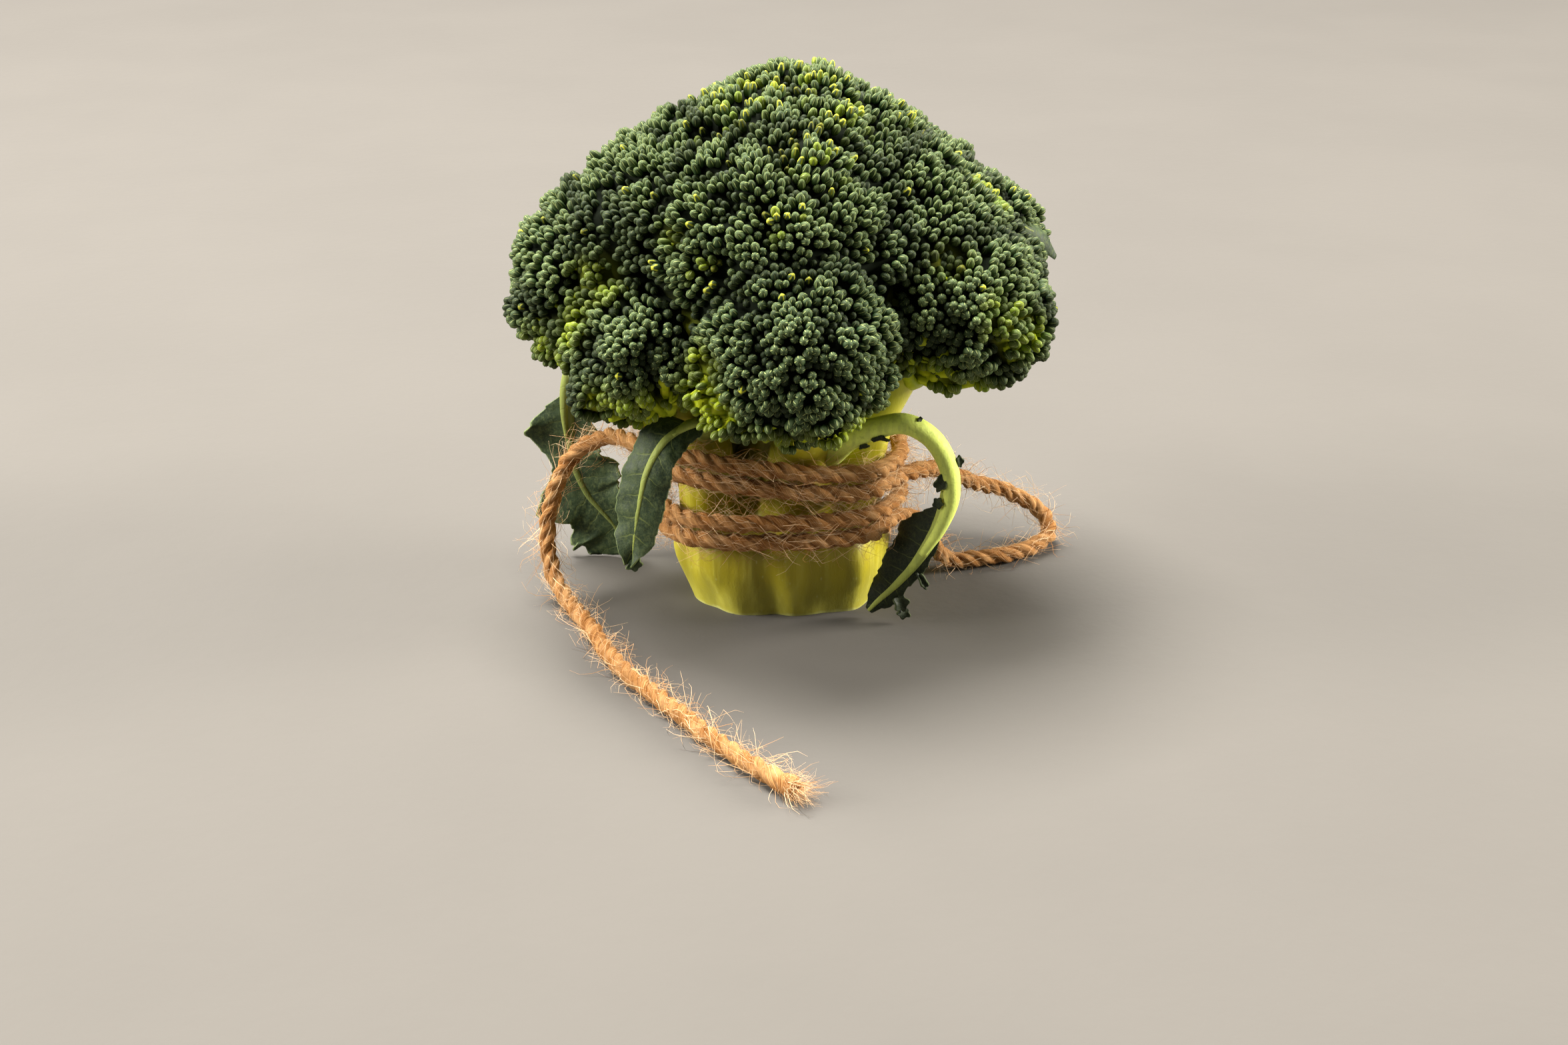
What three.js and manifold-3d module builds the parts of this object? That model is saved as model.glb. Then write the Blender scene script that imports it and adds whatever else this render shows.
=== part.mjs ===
// A fresh head of broccoli standing on its cut stalk, with three small leaves on the stalk, a leaf
// tip at the crown's rim, and one length of jute twine wound twice round the stalk at two heights.
// Millimetres, +Z up. The origin is the middle of the cut face, and the front faces -Y.

import * as THREE from "three";
import { mergeVertices } from "three/addons/utils/BufferGeometryUtils.js";
import Module from "manifold-3d";

const wasm = await Module();
wasm.setup();

// Driving dimensions

const touchGap = 0.3; // left between pieces that touch

// The stalk's sections from the cut face up: [height, half width, half depth, middle x, middle y]
const trunkLevels = [
  [0, 24.5, 20, 0, 0],
  [6, 26.5, 22, -0.3, 0],
  [13, 28.5, 24.3, -1, 0.3],
  [20, 29.2, 25.3, -1.5, 0.8],
  [29, 26.5, 24, 0, 1.5],
  [40, 20.5, 20.5, 3.5, 3],
  [52, 19, 19, 4.5, 6],
  [64, 19, 19, 4, 8],
  [76, 14, 14, 3, 10],
];
const trunkSquareness = 2.9; // 2 is an ellipse, and more is nearer to a rectangle
const trunkRibs = 9; // shallow ridges where the branches have grown together
const trunkRibDepth = 0.025; // as a part of the radius
const trunkSides = 36;
const branchSides = 12;
const branchSteps = 3; // rings between two points of a branch

// Each branch: its points from the trunk's heart to the floret that it carries, and its radii there
const branches = {
  front: { points: [[2, -9, 8], [3, -14, 34], [4.5, -16.5, 46], [6, -30, 70]], radii: [9, 9.5, 8, 8] },
  right: { points: [[13, -6, 8], [17.5, -7, 32], [19.5, -7.5, 46], [38, -10, 72]], radii: [9, 9, 8, 8] },
  left_front: {
    points: [[-14, -8, 8], [-20, -11, 30], [-21.5, -11.5, 48], [-33, -22, 69]],
    radii: [8, 7.8, 6.8, 6.5],
  },
  left: { points: [[-14, 2, 8], [-21.5, 2.5, 32], [-23.5, 2, 48], [-44, -1, 74]], radii: [9, 8, 7.5, 7] },
  back_left: { points: [[-11, 10, 8], [-16, 16, 32], [-18, 18.2, 48], [-34, 34, 72]], radii: [9, 8.5, 8, 8] },
  back: { points: [[2, 11, 8], [3, 17.5, 34], [4, 20, 46], [4, 46, 72]], radii: [9, 9, 8, 8] },
  right_back: { points: [[13, 7, 8], [17, 11, 32], [18.5, 13, 46], [38, 20, 74]], radii: [9, 9, 8.5, 8] },
};

// Each floret: the middle and the half sizes of its dome of buds, out to the tips of the buds
const florets = {
  crown: { middle: [3, 12, 105], size: [36, 36, 37] },
  upper_front: { middle: [0, -18, 97], size: [32, 30, 31] },
  upper_left: { middle: [-26, 2, 92], size: [30, 31, 30] },
  upper_right: { middle: [32, 2, 92], size: [29, 32, 30] },
  upper_back_left: { middle: [-22, 36, 94], size: [29, 28, 29] },
  upper_back_right: { middle: [26, 38, 94], size: [29, 28, 29] },
  left: { middle: [-50, -2, 87], size: [22, 25, 21] },
  left_front: { middle: [-36, -25, 76.5], size: [20, 22, 19.5] },
  front: { middle: [6, -37, 81], size: [27, 27, 26] },
  right: { middle: [45, -14, 85], size: [24, 26, 21] },
  right_back: { middle: [47, 22, 88], size: [25, 26, 24] },
  back: { middle: [4, 56, 83], size: [27, 24, 23] },
  back_left: { middle: [-39, 36, 83], size: [25, 25, 22] },
};
const floretSegments = 18;

// Each leaf: stations along its midrib, [x, y, z, width on its left, width on its right, thickness]
const bladeEdge = 0.8; // thickness at a blade's edge
const leaves = {
  leaf_front_left: {
    faces: [-0.35, -0.85, 0.4],
    stations: [
      [-22, -17, 50, 1.8, 1.8, 3],
      [-21.5, -24, 56, 2, 2, 3],
      [-24.5, -31, 58.5, 2.2, 2.2, 3],
      [-30, -35.5, 56, 5, 5, 2.4],
      [-34.3, -37.5, 49, 6.5, 6, 2],
      [-36.3, -38, 41, 6.5, 6.5, 1.8],
      [-37.8, -38, 32, 6, 5.5, 1.6],
      [-38.8, -37.5, 23.5, 2, 2, 1.4],
    ],
  },
  leaf_back_left: {
    faces: [-0.25, -0.95, 0.15],
    stations: [
      [-31, 6.5, 50, 2, 2, 3.4],
      [-41, 12, 57, 2.2, 2.2, 3.4],
      [-51, 17, 60, 2.4, 2.4, 3.4],
      [-58, 19.5, 55, 2.8, 3, 3.4],
      [-60.5, 20, 43, 10, 7, 2.6],
      [-60, 19, 33, 11, 12, 2.2],
      [-57.5, 18, 22, 10, 15, 2],
      [-55, 17, 12, 7, 12, 1.8],
      [-53, 16, 2.4, 3, 7, 1.6],
    ],
  },
  leaf_right: {
    faces: [0, -1, 0],
    stations: [
      [15, -19, 49.5, 3.2, 3.2, 5.2],
      [24.5, -22, 54.5, 3.1, 3.1, 5.2],
      [31, -23.5, 56, 3, 3, 5],
      [38, -24.5, 52, 2.9, 2.9, 4.8],
      [42, -25.5, 45, 2.8, 2.8, 4.6],
      [43, -26.5, 36.5, 2.6, 2.6, 4.2],
      [40, -27, 28, 2.2, 8, 3.4],
      [35, -26.5, 19.5, 3, 9, 2.8],
      [30, -24.5, 12, 2.6, 5, 2.2],
      [24, -22, 5.5, 1, 1.6, 1.6],
    ],
  },
  leaf_tip: {
    faces: [0.8, 0, 0.6],
    stations: [
      [64, 8, 101, 1.5, 1.5, 1.6],
      [69, 12, 97.5, 3.5, 3.5, 1.6],
      [73.5, 15.5, 91.5, 3, 3, 1.4],
    ],
  },
};

// The twine: one length, wound round the stalk low down, out in a loop, wound again and let go
const twine = { diameter: 5, sides: 8, step: 12.5 };
const lowerWraps = {
  from: 90, to: 697.5, frontAngle: 270, frontHeight: 30.3, leftRise: -1.5, // degrees, and heights
  halfWidth: 32.4, halfDepth: 29, middleX: -1.5, middleY: 1, squareness: 3,
};
const upperWraps = {
  from: -22.5, to: -495, frontAngle: -90, frontHeight: 39.7, leftRise: 2.5,
  halfWidth: 33.3, halfDepth: 29.8, middleX: -2.5, middleY: 2, squareness: 3,
};
const turnPitch = 5.3; // from each turn of a wrap to the next
const wrapTurn = 22.5; // degrees between the points of a wrap
const loopPoints = [
  [35, -6, 22], [38.3, -0.5, 15.5], [41.6, 4.8, 8.6], [45.5, 8, 3.6], [53, 10, 2.6], [62, 13, 2.6], [70, 18, 2.6],
  [75.5, 25, 4], [73.5, 31, 8], [64, 31, 14], [53, 24, 20], [43.8, 12, 28.5], [37.9, -1.5, 34.5],
];
const tailPoints = [
  [-38.2, -13.6, 46.8], [-46, -5.5, 45.5], [-55.5, 0, 39], [-61.5, -1, 29], [-64, -4, 17], [-62.5, -9.5, 8],
  [-58, -17, 3.2], [-52, -29, 2.6], [-42, -53, 2.6], [-27, -76, 2.6], [-13, -96, 2.6], [-3, -108, 2.6],
  [3, -114, 2.6],
];

// Shared shape tools

function vector(xyz) {
  return new THREE.Vector3(...xyz);
}

// The closed solid through a row of rings that have equally many points each
function loft(rings) {
  const count = rings[0].length;
  const middles = [rings[0], rings.at(-1)].map((ring) =>
    ring.reduce((sum, point) => sum.add(point), new THREE.Vector3()).divideScalar(count));
  const corners = [...rings.flat(), ...middles].flatMap((point) => point.toArray());
  const first = rings.length * count;
  const faces = [];
  for (let i = 0; i < count; i++) {
    const next = (i + 1) % count;
    faces.push(first, next, i);
    for (let row = 0; row < (rings.length - 1) * count; row += count) {
      faces.push(row + i, row + next, row + count + next);
      faces.push(row + i, row + count + next, row + count + i);
    }
    faces.push(first + 1, first - count + i, first - count + next);
  }
  const geometry = new THREE.BufferGeometry();
  geometry.setAttribute("position", new THREE.Float32BufferAttribute(corners, 3));
  geometry.setIndex(faces);
  return geometry;
}

function toSolid(geometry) {
  const bare = geometry.clone();
  bare.deleteAttribute("normal");
  bare.deleteAttribute("uv");
  const merged = mergeVertices(bare, 1e-4);
  return new wasm.Manifold(new wasm.Mesh({
    numProp: 3,
    vertProperties: new Float32Array(merged.attributes.position.array),
    triVerts: new Uint32Array(merged.index.array),
  }));
}

function toGeometry(solid) {
  const mesh = solid.getMesh();
  const geometry = new THREE.BufferGeometry();
  geometry.setAttribute("position", new THREE.BufferAttribute(mesh.vertProperties, 3));
  geometry.setIndex(new THREE.BufferAttribute(mesh.triVerts, 1));
  return geometry;
}

// How far out a rounded rectangle's edge is at an angle
function squareRadius(angle, halfWidth, halfDepth, squareness) {
  const across = Math.abs(Math.cos(angle) / halfWidth) ** squareness;
  const along = Math.abs(Math.sin(angle) / halfDepth) ** squareness;
  return (across + along) ** (-1 / squareness);
}

// Stalk

function trunkRing([z, halfWidth, halfDepth, middleX, middleY], extra) {
  return Array.from({ length: trunkSides }, (_, i) => {
    const angle = (i / trunkSides) * 2 * Math.PI;
    const ribs = 1 + trunkRibDepth * Math.cos(trunkRibs * angle);
    const radius = squareRadius(angle, halfWidth, halfDepth, trunkSquareness) * ribs + extra;
    return new THREE.Vector3(middleX + radius * Math.cos(angle), middleY + radius * Math.sin(angle), z);
  });
}

// A round limb of changing thickness along a smooth curve
function limb({ points, radii }, extra) {
  const curve = new THREE.CatmullRomCurve3(points.map(vector));
  const steps = branchSteps * (points.length - 1);
  const frames = curve.computeFrenetFrames(steps, false);
  const rings = [];
  for (let i = 0; i <= steps; i++) {
    const place = i / branchSteps;
    const start = Math.min(Math.floor(place), radii.length - 2);
    const radius = THREE.MathUtils.lerp(radii[start], radii[start + 1], place - start) + extra;
    const middle = curve.getPoint(i / steps);
    rings.push(Array.from({ length: branchSides }, (_, k) => {
      const angle = (k / branchSides) * 2 * Math.PI;
      return middle.clone()
        .addScaledVector(frames.normals[i], radius * Math.cos(angle))
        .addScaledVector(frames.binormals[i], radius * Math.sin(angle));
    }));
  }
  return loft(rings);
}

function stalkSolid(extra) {
  let solid = toSolid(loft(trunkLevels.map((level) => trunkRing(level, extra))));
  for (const branch of Object.values(branches)) {
    solid = solid.add(toSolid(limb(branch, extra)));
  }
  return solid;
}

// Florets

function domeSolid({ middle, size }, extra) {
  const dome = new THREE.SphereGeometry(1, floretSegments, floretSegments * 0.6);
  dome.scale(size[0] + extra, size[1] + extra, size[2] + extra);
  dome.translate(...middle);
  return toSolid(dome);
}

// A dome's half size in one direction
function reach(floret, direction) {
  return 1 / direction.clone().divide(vector(floret.size)).length();
}

// The block of space that belongs to the neighbour, past the plane in which the two domes meet
function neighbourSpace(floret, neighbour) {
  const way = vector(neighbour.middle).sub(vector(floret.middle));
  const distance = way.length();
  way.normalize();
  const own = reach(floret, way);
  const other = reach(neighbour, way);
  if (own + other <= distance) return null;
  const plane = (distance ** 2 + own ** 2 - other ** 2) / (2 * distance) - touchGap / 2;
  const blockSize = 160;
  const block = new THREE.BoxGeometry(blockSize, blockSize, blockSize);
  block.translate(0, 0, blockSize / 2 + plane);
  block.applyQuaternion(new THREE.Quaternion().setFromUnitVectors(new THREE.Vector3(0, 0, 1), way));
  block.translate(...floret.middle);
  return toSolid(block);
}

function floretSolid(name, stalkSpace) {
  let solid = domeSolid(florets[name], 0);
  for (const neighbour of Object.keys(florets)) {
    const block = neighbour === name ? null : neighbourSpace(florets[name], florets[neighbour]);
    if (block) solid = solid.subtract(block);
  }
  return solid.subtract(stalkSpace);
}

// Leaves

function leafSolid({ faces, stations }) {
  const curve = new THREE.CatmullRomCurve3(stations.map((station) => vector(station.slice(0, 3))));
  const rings = stations.map(([, , , left, right, thickness], i) => {
    const place = i / (stations.length - 1);
    const along = curve.getTangent(place);
    const across = new THREE.Vector3().crossVectors(along, vector(faces)).normalize();
    const out = new THREE.Vector3().crossVectors(across, along).normalize();
    const at = (side, height) => curve.getPoint(place)
      .addScaledVector(across, side)
      .addScaledVector(out, height);
    return [
      at(-left, bladeEdge / 2), at(0, thickness / 2), at(right, bladeEdge / 2),
      at(right, -bladeEdge / 2), at(0, -thickness / 2), at(-left, -bladeEdge / 2),
    ];
  });
  return toSolid(loft(rings));
}

// Twine

// The route round the stalk between two angles, turn upon turn, higher or lower on the left
function wrapPoints(wraps) {
  const count = Math.round(Math.abs(wraps.to - wraps.from) / wrapTurn);
  const front = THREE.MathUtils.degToRad(wraps.frontAngle);
  return Array.from({ length: count + 1 }, (_, i) => {
    const share = i / count;
    const angle = THREE.MathUtils.degToRad(THREE.MathUtils.lerp(wraps.from, wraps.to, share));
    const radius = squareRadius(angle, wraps.halfWidth, wraps.halfDepth, wraps.squareness);
    return [
      wraps.middleX + radius * Math.cos(angle),
      wraps.middleY + radius * Math.sin(angle),
      wraps.frontHeight - (turnPitch * THREE.MathUtils.radToDeg(angle - front)) / 360
        - wraps.leftRise * Math.cos(angle),
    ];
  });
}

// One stretch of the whole route, between two shares of its length
class Stretch extends THREE.Curve {
  constructor(route, from, to) {
    super();
    Object.assign(this, { route, from, to });
  }

  getPoint(share) {
    return this.route.getPointAt(THREE.MathUtils.lerp(this.from, this.to, share));
  }
}

function twineStretch(route, from, to) {
  const corners = Array.from({ length: twine.sides }, (_, k) => {
    const angle = (k / twine.sides) * 2 * Math.PI;
    return new THREE.Vector2(Math.cos(angle), Math.sin(angle)).multiplyScalar(twine.diameter / 2);
  });
  return new THREE.ExtrudeGeometry(new THREE.Shape(corners), {
    steps: Math.round((route.getLength() * (to - from)) / twine.step),
    extrudePath: new Stretch(route, from, to),
  });
}

// Where a point of the route lies along it, as a share of its length
function shareAt(route, point) {
  const samples = 2000;
  let best = { share: 0, distance: Infinity };
  for (let i = 0; i <= samples; i++) {
    const distance = route.getPointAt(i / samples).distanceTo(vector(point));
    if (distance < best.distance) best = { share: i / samples, distance };
  }
  return best.share;
}

// The whole head

const colours = {
  stalk: { color: 0x9bb04a, roughness: 0.5 },
  floret: { color: 0x3f5f3c, roughness: 0.65 },
  leaf: { color: 0x2f5230, roughness: 0.55 },
  twine: { color: 0xa9814f, roughness: 0.95 },
};

const broccoli = new THREE.Group();

function addPiece(name, geometry, look) {
  const mesh = new THREE.Mesh(geometry, new THREE.MeshStandardMaterial({ ...colours[look], metalness: 0 }));
  mesh.name = name;
  broccoli.add(mesh);
}

const stalkSpace = stalkSolid(touchGap);
addPiece("stalk", toGeometry(stalkSolid(0)), "stalk");

for (const name of Object.keys(florets)) {
  addPiece(`floret_${name}`, toGeometry(floretSolid(name, stalkSpace)), "floret");
}

let takenSpace = stalkSpace;
for (const floret of Object.values(florets)) {
  takenSpace = takenSpace.add(domeSolid(floret, touchGap));
}
for (const [name, leaf] of Object.entries(leaves)) {
  addPiece(name, toGeometry(leafSolid(leaf).subtract(takenSpace)), "leaf");
}

const lowerPoints = wrapPoints(lowerWraps);
const upperPoints = wrapPoints(upperWraps);
const route = new THREE.CatmullRomCurve3(
  [...lowerPoints, ...loopPoints, ...upperPoints, ...tailPoints].map(vector), false, "centripetal");
route.arcLengthDivisions = 4000;
const joints = [lowerPoints.at(-1), upperPoints[0], upperPoints.at(-1)].map((point) => shareAt(route, point));
const joinGap = (2 * touchGap) / route.getLength();
const stretches = {
  twine_lower_wraps: [0, joints[0]],
  twine_loop: [joints[0] + joinGap, joints[1]],
  twine_upper_wraps: [joints[1] + joinGap, joints[2]],
  twine_tail: [joints[2] + joinGap, 1],
};
for (const [name, [from, to]] of Object.entries(stretches)) {
  addPiece(name, twineStretch(route, from, to), "twine");
}

export default broccoli;
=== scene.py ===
import math

import bpy
import numpy as np
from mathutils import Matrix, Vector, kdtree, noise


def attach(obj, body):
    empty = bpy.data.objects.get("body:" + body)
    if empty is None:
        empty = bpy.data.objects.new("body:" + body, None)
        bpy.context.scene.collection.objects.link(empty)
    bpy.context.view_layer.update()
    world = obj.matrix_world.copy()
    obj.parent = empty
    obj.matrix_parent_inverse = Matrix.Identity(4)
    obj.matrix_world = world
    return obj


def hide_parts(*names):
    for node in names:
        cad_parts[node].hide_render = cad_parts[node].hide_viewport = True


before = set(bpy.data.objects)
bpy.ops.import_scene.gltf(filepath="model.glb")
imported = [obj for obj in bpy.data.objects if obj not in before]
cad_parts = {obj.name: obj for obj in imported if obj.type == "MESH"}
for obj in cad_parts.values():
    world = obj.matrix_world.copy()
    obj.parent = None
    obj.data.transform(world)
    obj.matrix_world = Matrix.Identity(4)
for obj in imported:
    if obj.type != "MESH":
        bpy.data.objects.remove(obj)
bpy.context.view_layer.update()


# Tools that several pieces share

def clearSelection():
    if bpy.context.object and bpy.context.object.mode != "OBJECT":
        bpy.ops.object.mode_set(mode="OBJECT")
    bpy.ops.object.select_all(action="DESELECT")


def makeActive(piece):
    clearSelection()
    piece.select_set(True)
    bpy.context.view_layer.objects.active = piece


def shapeWith(piece, kind, **settings):
    makeActive(piece)
    modifier = piece.modifiers.new(kind.title(), kind)
    for name, value in settings.items():
        setattr(modifier, name, value)
    bpy.ops.object.modifier_apply(modifier=modifier.name)


def joinPieces(pieces, name):
    clearSelection()
    for piece in pieces:
        piece.select_set(True)
    bpy.context.view_layer.objects.active = pieces[0]
    bpy.ops.object.join()
    pieces[0].name = pieces[0].data.name = name
    return pieces[0]


def trianglesOf(piece):
    return sum(len(face.vertices) - 2 for face in piece.data.polygons)


def pointsOf(piece):
    found = np.empty(len(piece.data.vertices) * 3)
    piece.data.vertices.foreach_get("co", found)
    return found.reshape(-1, 3)


def normalsOf(piece):
    found = np.empty(len(piece.data.vertices) * 3)
    piece.data.vertices.foreach_get("normal", found)
    return found.reshape(-1, 3)


def movePoints(piece, points):
    piece.data.vertices.foreach_set("co", np.asarray(points, np.float32).ravel())
    piece.data.update()


def unit(vectors):
    vectors = np.asarray(vectors, float)
    return vectors / np.maximum(np.linalg.norm(vectors, axis=-1, keepdims=True), 1e-9)


def millimetres(numbers):
    # numbers given in millimetres, as metres
    return np.array(numbers, float) / 1000


def ease(value, low, high):
    share = np.clip((np.asarray(value, float) - low) / (high - low), 0, 1)
    return share * share * (3 - 2 * share)


def roughness3d(points, size, seed=0.0):
    # soft noise at each point, about -1 to 1, with features of that size
    return np.array([noise.noise(Vector(p) / size + Vector((seed, 0, 0))) for p in points])


def evenLine(line, step):
    lengths = np.r_[0, np.cumsum(np.linalg.norm(np.diff(line, axis=0), axis=1))]
    places = np.linspace(0, lengths[-1], max(2, round(lengths[-1] / step) + 1))
    return np.stack([np.interp(places, lengths, line[:, k]) for k in range(3)], 1)


def smoothLine(knots, step):
    # a smooth line through all the knots, with points evenly a step apart
    knots = np.array(knots, float)
    ends = np.vstack([2 * knots[0] - knots[1], knots, 2 * knots[-1] - knots[-2]])
    pieces = []
    for i in range(len(knots) - 1):
        a, b, c, d = ends[i:i + 4]
        first, middle, last = (np.linalg.norm(x) ** 0.5 for x in (b - a, c - b, d - c))
        leave = ((b - a) / first - (c - a) / (first + middle) + (c - b) / middle) * middle
        arrive = ((c - b) / middle - (d - b) / (middle + last) + (d - c) / last) * middle
        t = np.linspace(0, 1, 40, endpoint=False)[:, None]
        pieces.append(
            b + leave * t + (3 * (c - b) - 2 * leave - arrive) * t ** 2
            + (2 * (b - c) + leave + arrive) * t ** 3
        )
    return evenLine(np.vstack([*pieces, knots[-1:]]), step)


def framesOn(line, start=(0, 0, 1)):
    # along, across and out at each point of a line, turning as little as they can
    along = unit(np.gradient(line, axis=0))
    out = np.zeros_like(line)
    out[0] = unit(np.array(start, float) - along[0] * (along[0] @ np.array(start, float)))
    for i in range(1, len(line)):
        out[i] = unit(out[i - 1] - along[i] * (along[i] @ out[i - 1]))
    return along, np.cross(along, out), out


def gridPiece(name, across, along, place, rolled=False):
    # a flat grid whose points go to place(u, v); rolled, it becomes a closed tube
    clearSelection()
    bpy.ops.mesh.primitive_grid_add(x_subdivisions=across, y_subdivisions=along, size=1)
    piece = bpy.context.object
    piece.name = piece.data.name = name
    flat = pointsOf(piece)
    movePoints(piece, place(flat[:, 0] + 0.5, flat[:, 1] + 0.5))
    if rolled:
        bpy.ops.object.mode_set(mode="EDIT")
        bpy.ops.mesh.select_all(action="SELECT")
        bpy.ops.mesh.remove_doubles(threshold=1e-6)
        bpy.ops.mesh.select_all(action="DESELECT")
        bpy.ops.mesh.select_non_manifold()
        bpy.ops.mesh.fill_holes(sides=0)
        bpy.ops.mesh.select_all(action="SELECT")
        bpy.ops.mesh.normals_make_consistent(inside=False)
        bpy.ops.object.mode_set(mode="OBJECT")
    bpy.ops.object.shade_smooth()
    return piece


def tubePlace(line, radii, out=(0, 0, 1), flat=1.0):
    # places a rolled grid round a line; flat is its thickness as a part of its width
    _, across, outward = framesOn(line, out)
    radii = np.interp(np.linspace(0, 1, len(line)), np.linspace(0, 1, len(radii)), radii)

    def place(u, v):
        i = np.rint(v * (len(line) - 1)).astype(int)
        turn = 2 * math.pi * u
        side = across[i] * np.cos(turn)[:, None] + outward[i] * (np.sin(turn) * flat)[:, None]
        return line[i] + side * radii[i][:, None]

    return place


# Node helpers for the materials; each adds to the material begun last

making = {}


def newMaterial(name):
    material = bpy.data.materials.new(name)
    material.use_nodes = True
    making["tree"] = material.node_tree
    return material, material.node_tree.nodes["Principled BSDF"]


def addNode(kind, inputs=None, **settings):
    made = making["tree"].nodes.new("ShaderNode" + kind)
    for name, value in settings.items():
        setattr(made, name, value)
    for name, value in (inputs or {}).items():
        if isinstance(value, bpy.types.NodeSocket):
            making["tree"].links.new(value, made.inputs[name])
        else:
            made.inputs[name].default_value = value
    return made


def calculate(operation, first, second=0.0):
    return addNode("Math", {0: first, 1: second}, operation=operation).outputs[0]


def times(first, second):
    return calculate("MULTIPLY", first, second)


def plus(first, second):
    return calculate("ADD", first, second)


def minus(first, second):
    return calculate("SUBTRACT", first, second)


def spread(value, low, high, newLow=0.0, newHigh=1.0):
    # eases from newLow to newHigh while the value goes from low to high
    return addNode(
        "MapRange",
        {"Value": value, "From Min": low, "From Max": high, "To Min": newLow, "To Max": newHigh},
        interpolation_type="SMOOTHSTEP",
    ).outputs["Result"]


def mixColours(share, first, second):
    first, second = (c if isinstance(c, bpy.types.NodeSocket) else (*c, 1) for c in (first, second))
    return addNode("Mix", {0: share, 6: first, 7: second}, data_type="RGBA").outputs[2]


def addNoise(vector, scale, detail=3.0, roughness=0.55):
    return addNode(
        "TexNoise", {"Vector": vector, "Scale": scale, "Detail": detail, "Roughness": roughness}
    ).outputs["Fac"]


def stretched(vector, scale):
    return addNode("Mapping", {"Vector": vector, "Scale": scale}).outputs["Vector"]


def objectPlace():
    return addNode("TexCoord").outputs["Object"]


def ownMap():
    uv = addNode("UVMap", uv_map="UVMap").outputs["UV"]
    return addNode("SeparateXYZ", {"Vector": uv}).outputs


def finishWith(shader, colour, roughness, specular, bump=None, height=0.0002, strength=0.6):
    tree = making["tree"]
    tree.links.new(colour, shader.inputs["Base Color"])
    if isinstance(roughness, bpy.types.NodeSocket):
        tree.links.new(roughness, shader.inputs["Roughness"])
    else:
        shader.inputs["Roughness"].default_value = roughness
    shader.inputs["Specular IOR Level"].default_value = specular
    if bump is not None:
        bumped = addNode("Bump", {"Height": bump, "Distance": height, "Strength": strength})
        tree.links.new(bumped.outputs["Normal"], shader.inputs["Normal"])


def wear(piece, *materials):
    for material in materials:
        piece.data.materials.append(material)


def belong(piece, slot, *nodes):
    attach(piece, "root")
    if nodes:
        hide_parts(*nodes)


# Camera

cameraView = {"place": (0, -0.541, 0.259), "pitch": 66, "lens": 50}
bpy.ops.object.camera_add(
    location=cameraView["place"], rotation=(math.radians(cameraView["pitch"]), 0, 0)
)
bpy.context.object.data.lens = cameraView["lens"]
bpy.context.object.data.sensor_width = 36
bpy.context.scene.camera = bpy.context.object


# Twine: one length of three-ply jute with loose fibres and a frayed end

twine = {
    "diameter": 0.005,
    "turnLength": 0.0135,  # along the twine, for one full turn of a ply
    "turnPitch": 0.0053,  # from each turn round the stalk to the next
    "ringStep": 0.0008,
    "pointsRound": 30,
    "plyWidth": 0.00270,
    "plyOffset": 0.00098,  # from the twine's middle to each ply's middle
    "lyingHeight": 0.0026,  # its middle line, where it lies on the floor
    "fibres": 6600,
    "frayedFibres": 260,
    "fibreRoot": 0.0018,  # how far from the middle line the fibres start
    "fibreLength": (0.0030, 0.0105),
    "frayedLength": (0.003, 0.0085),
    "fibreThickness": 0.000055,
    "light": (0.82, 0.51, 0.235),
    "middle": (0.50, 0.225, 0.062),
    "dark": (0.15, 0.047, 0.007),
    "looseLight": (0.86, 0.66, 0.42),
}


def squareRadius(angle, halfWidth, halfDepth, squareness):
    across = abs(math.cos(angle) / halfWidth) ** squareness
    along = abs(math.sin(angle) / halfDepth) ** squareness
    return (across + along) ** (-1 / squareness)


def wrapKnots(start, end, front, frontHeight, leftRise, halfWidth, halfDepth, middle):
    count = round(abs(end - start) / 22.5)
    knots = []
    for i in range(count + 1):
        degrees = start + (end - start) * i / count
        angle = math.radians(degrees)
        radius = squareRadius(angle, halfWidth, halfDepth, 3)
        height = frontHeight - twine["turnPitch"] * (degrees - front) / 360 - leftRise * math.cos(angle)
        knots.append((middle[0] + radius * math.cos(angle), middle[1] + radius * math.sin(angle), height))
    return knots


lowerWraps = wrapKnots(90, 697.5, 270, 0.0303, -0.0015, 0.0324, 0.029, (-0.0015, 0.001))
loopKnots = [
    (0.035, -0.006, 0.022), (0.0383, -0.0005, 0.0155), (0.0416, 0.0048, 0.0086),
    (0.0455, 0.008, 0.0036), (0.053, 0.010, 0.0026), (0.062, 0.013, 0.0026), (0.070, 0.018, 0.0026),
    (0.0755, 0.025, 0.004), (0.0735, 0.031, 0.008), (0.064, 0.031, 0.014), (0.053, 0.024, 0.020),
    (0.0438, 0.012, 0.0285), (0.0379, -0.0015, 0.0345),
]
upperWraps = wrapKnots(-22.5, -495, -90, 0.0397, 0.0025, 0.0333, 0.0298, (-0.0025, 0.002))
tailKnots = [
    (-0.0382, -0.0136, 0.0468), (-0.046, -0.0055, 0.0455), (-0.0555, 0, 0.039),
    (-0.0615, -0.001, 0.029), (-0.064, -0.004, 0.017), (-0.0625, -0.0095, 0.008),
    (-0.058, -0.017, 0.0032), (-0.052, -0.029, 0.0026), (-0.042, -0.053, 0.0026),
    (-0.027, -0.076, 0.0026), (-0.013, -0.096, 0.0026), (-0.003, -0.108, 0.0026),
    (0.003, -0.114, 0.0026),
]
tuckedStart = [(0.004, 0.0225, 0.0355), (0.0015, 0.0265, 0.0342)]  # under its own turns
twineLine = smoothLine(
    tuckedStart + lowerWraps[1:] + loopKnots + upperWraps + tailKnots, twine["ringStep"]
)
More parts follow.
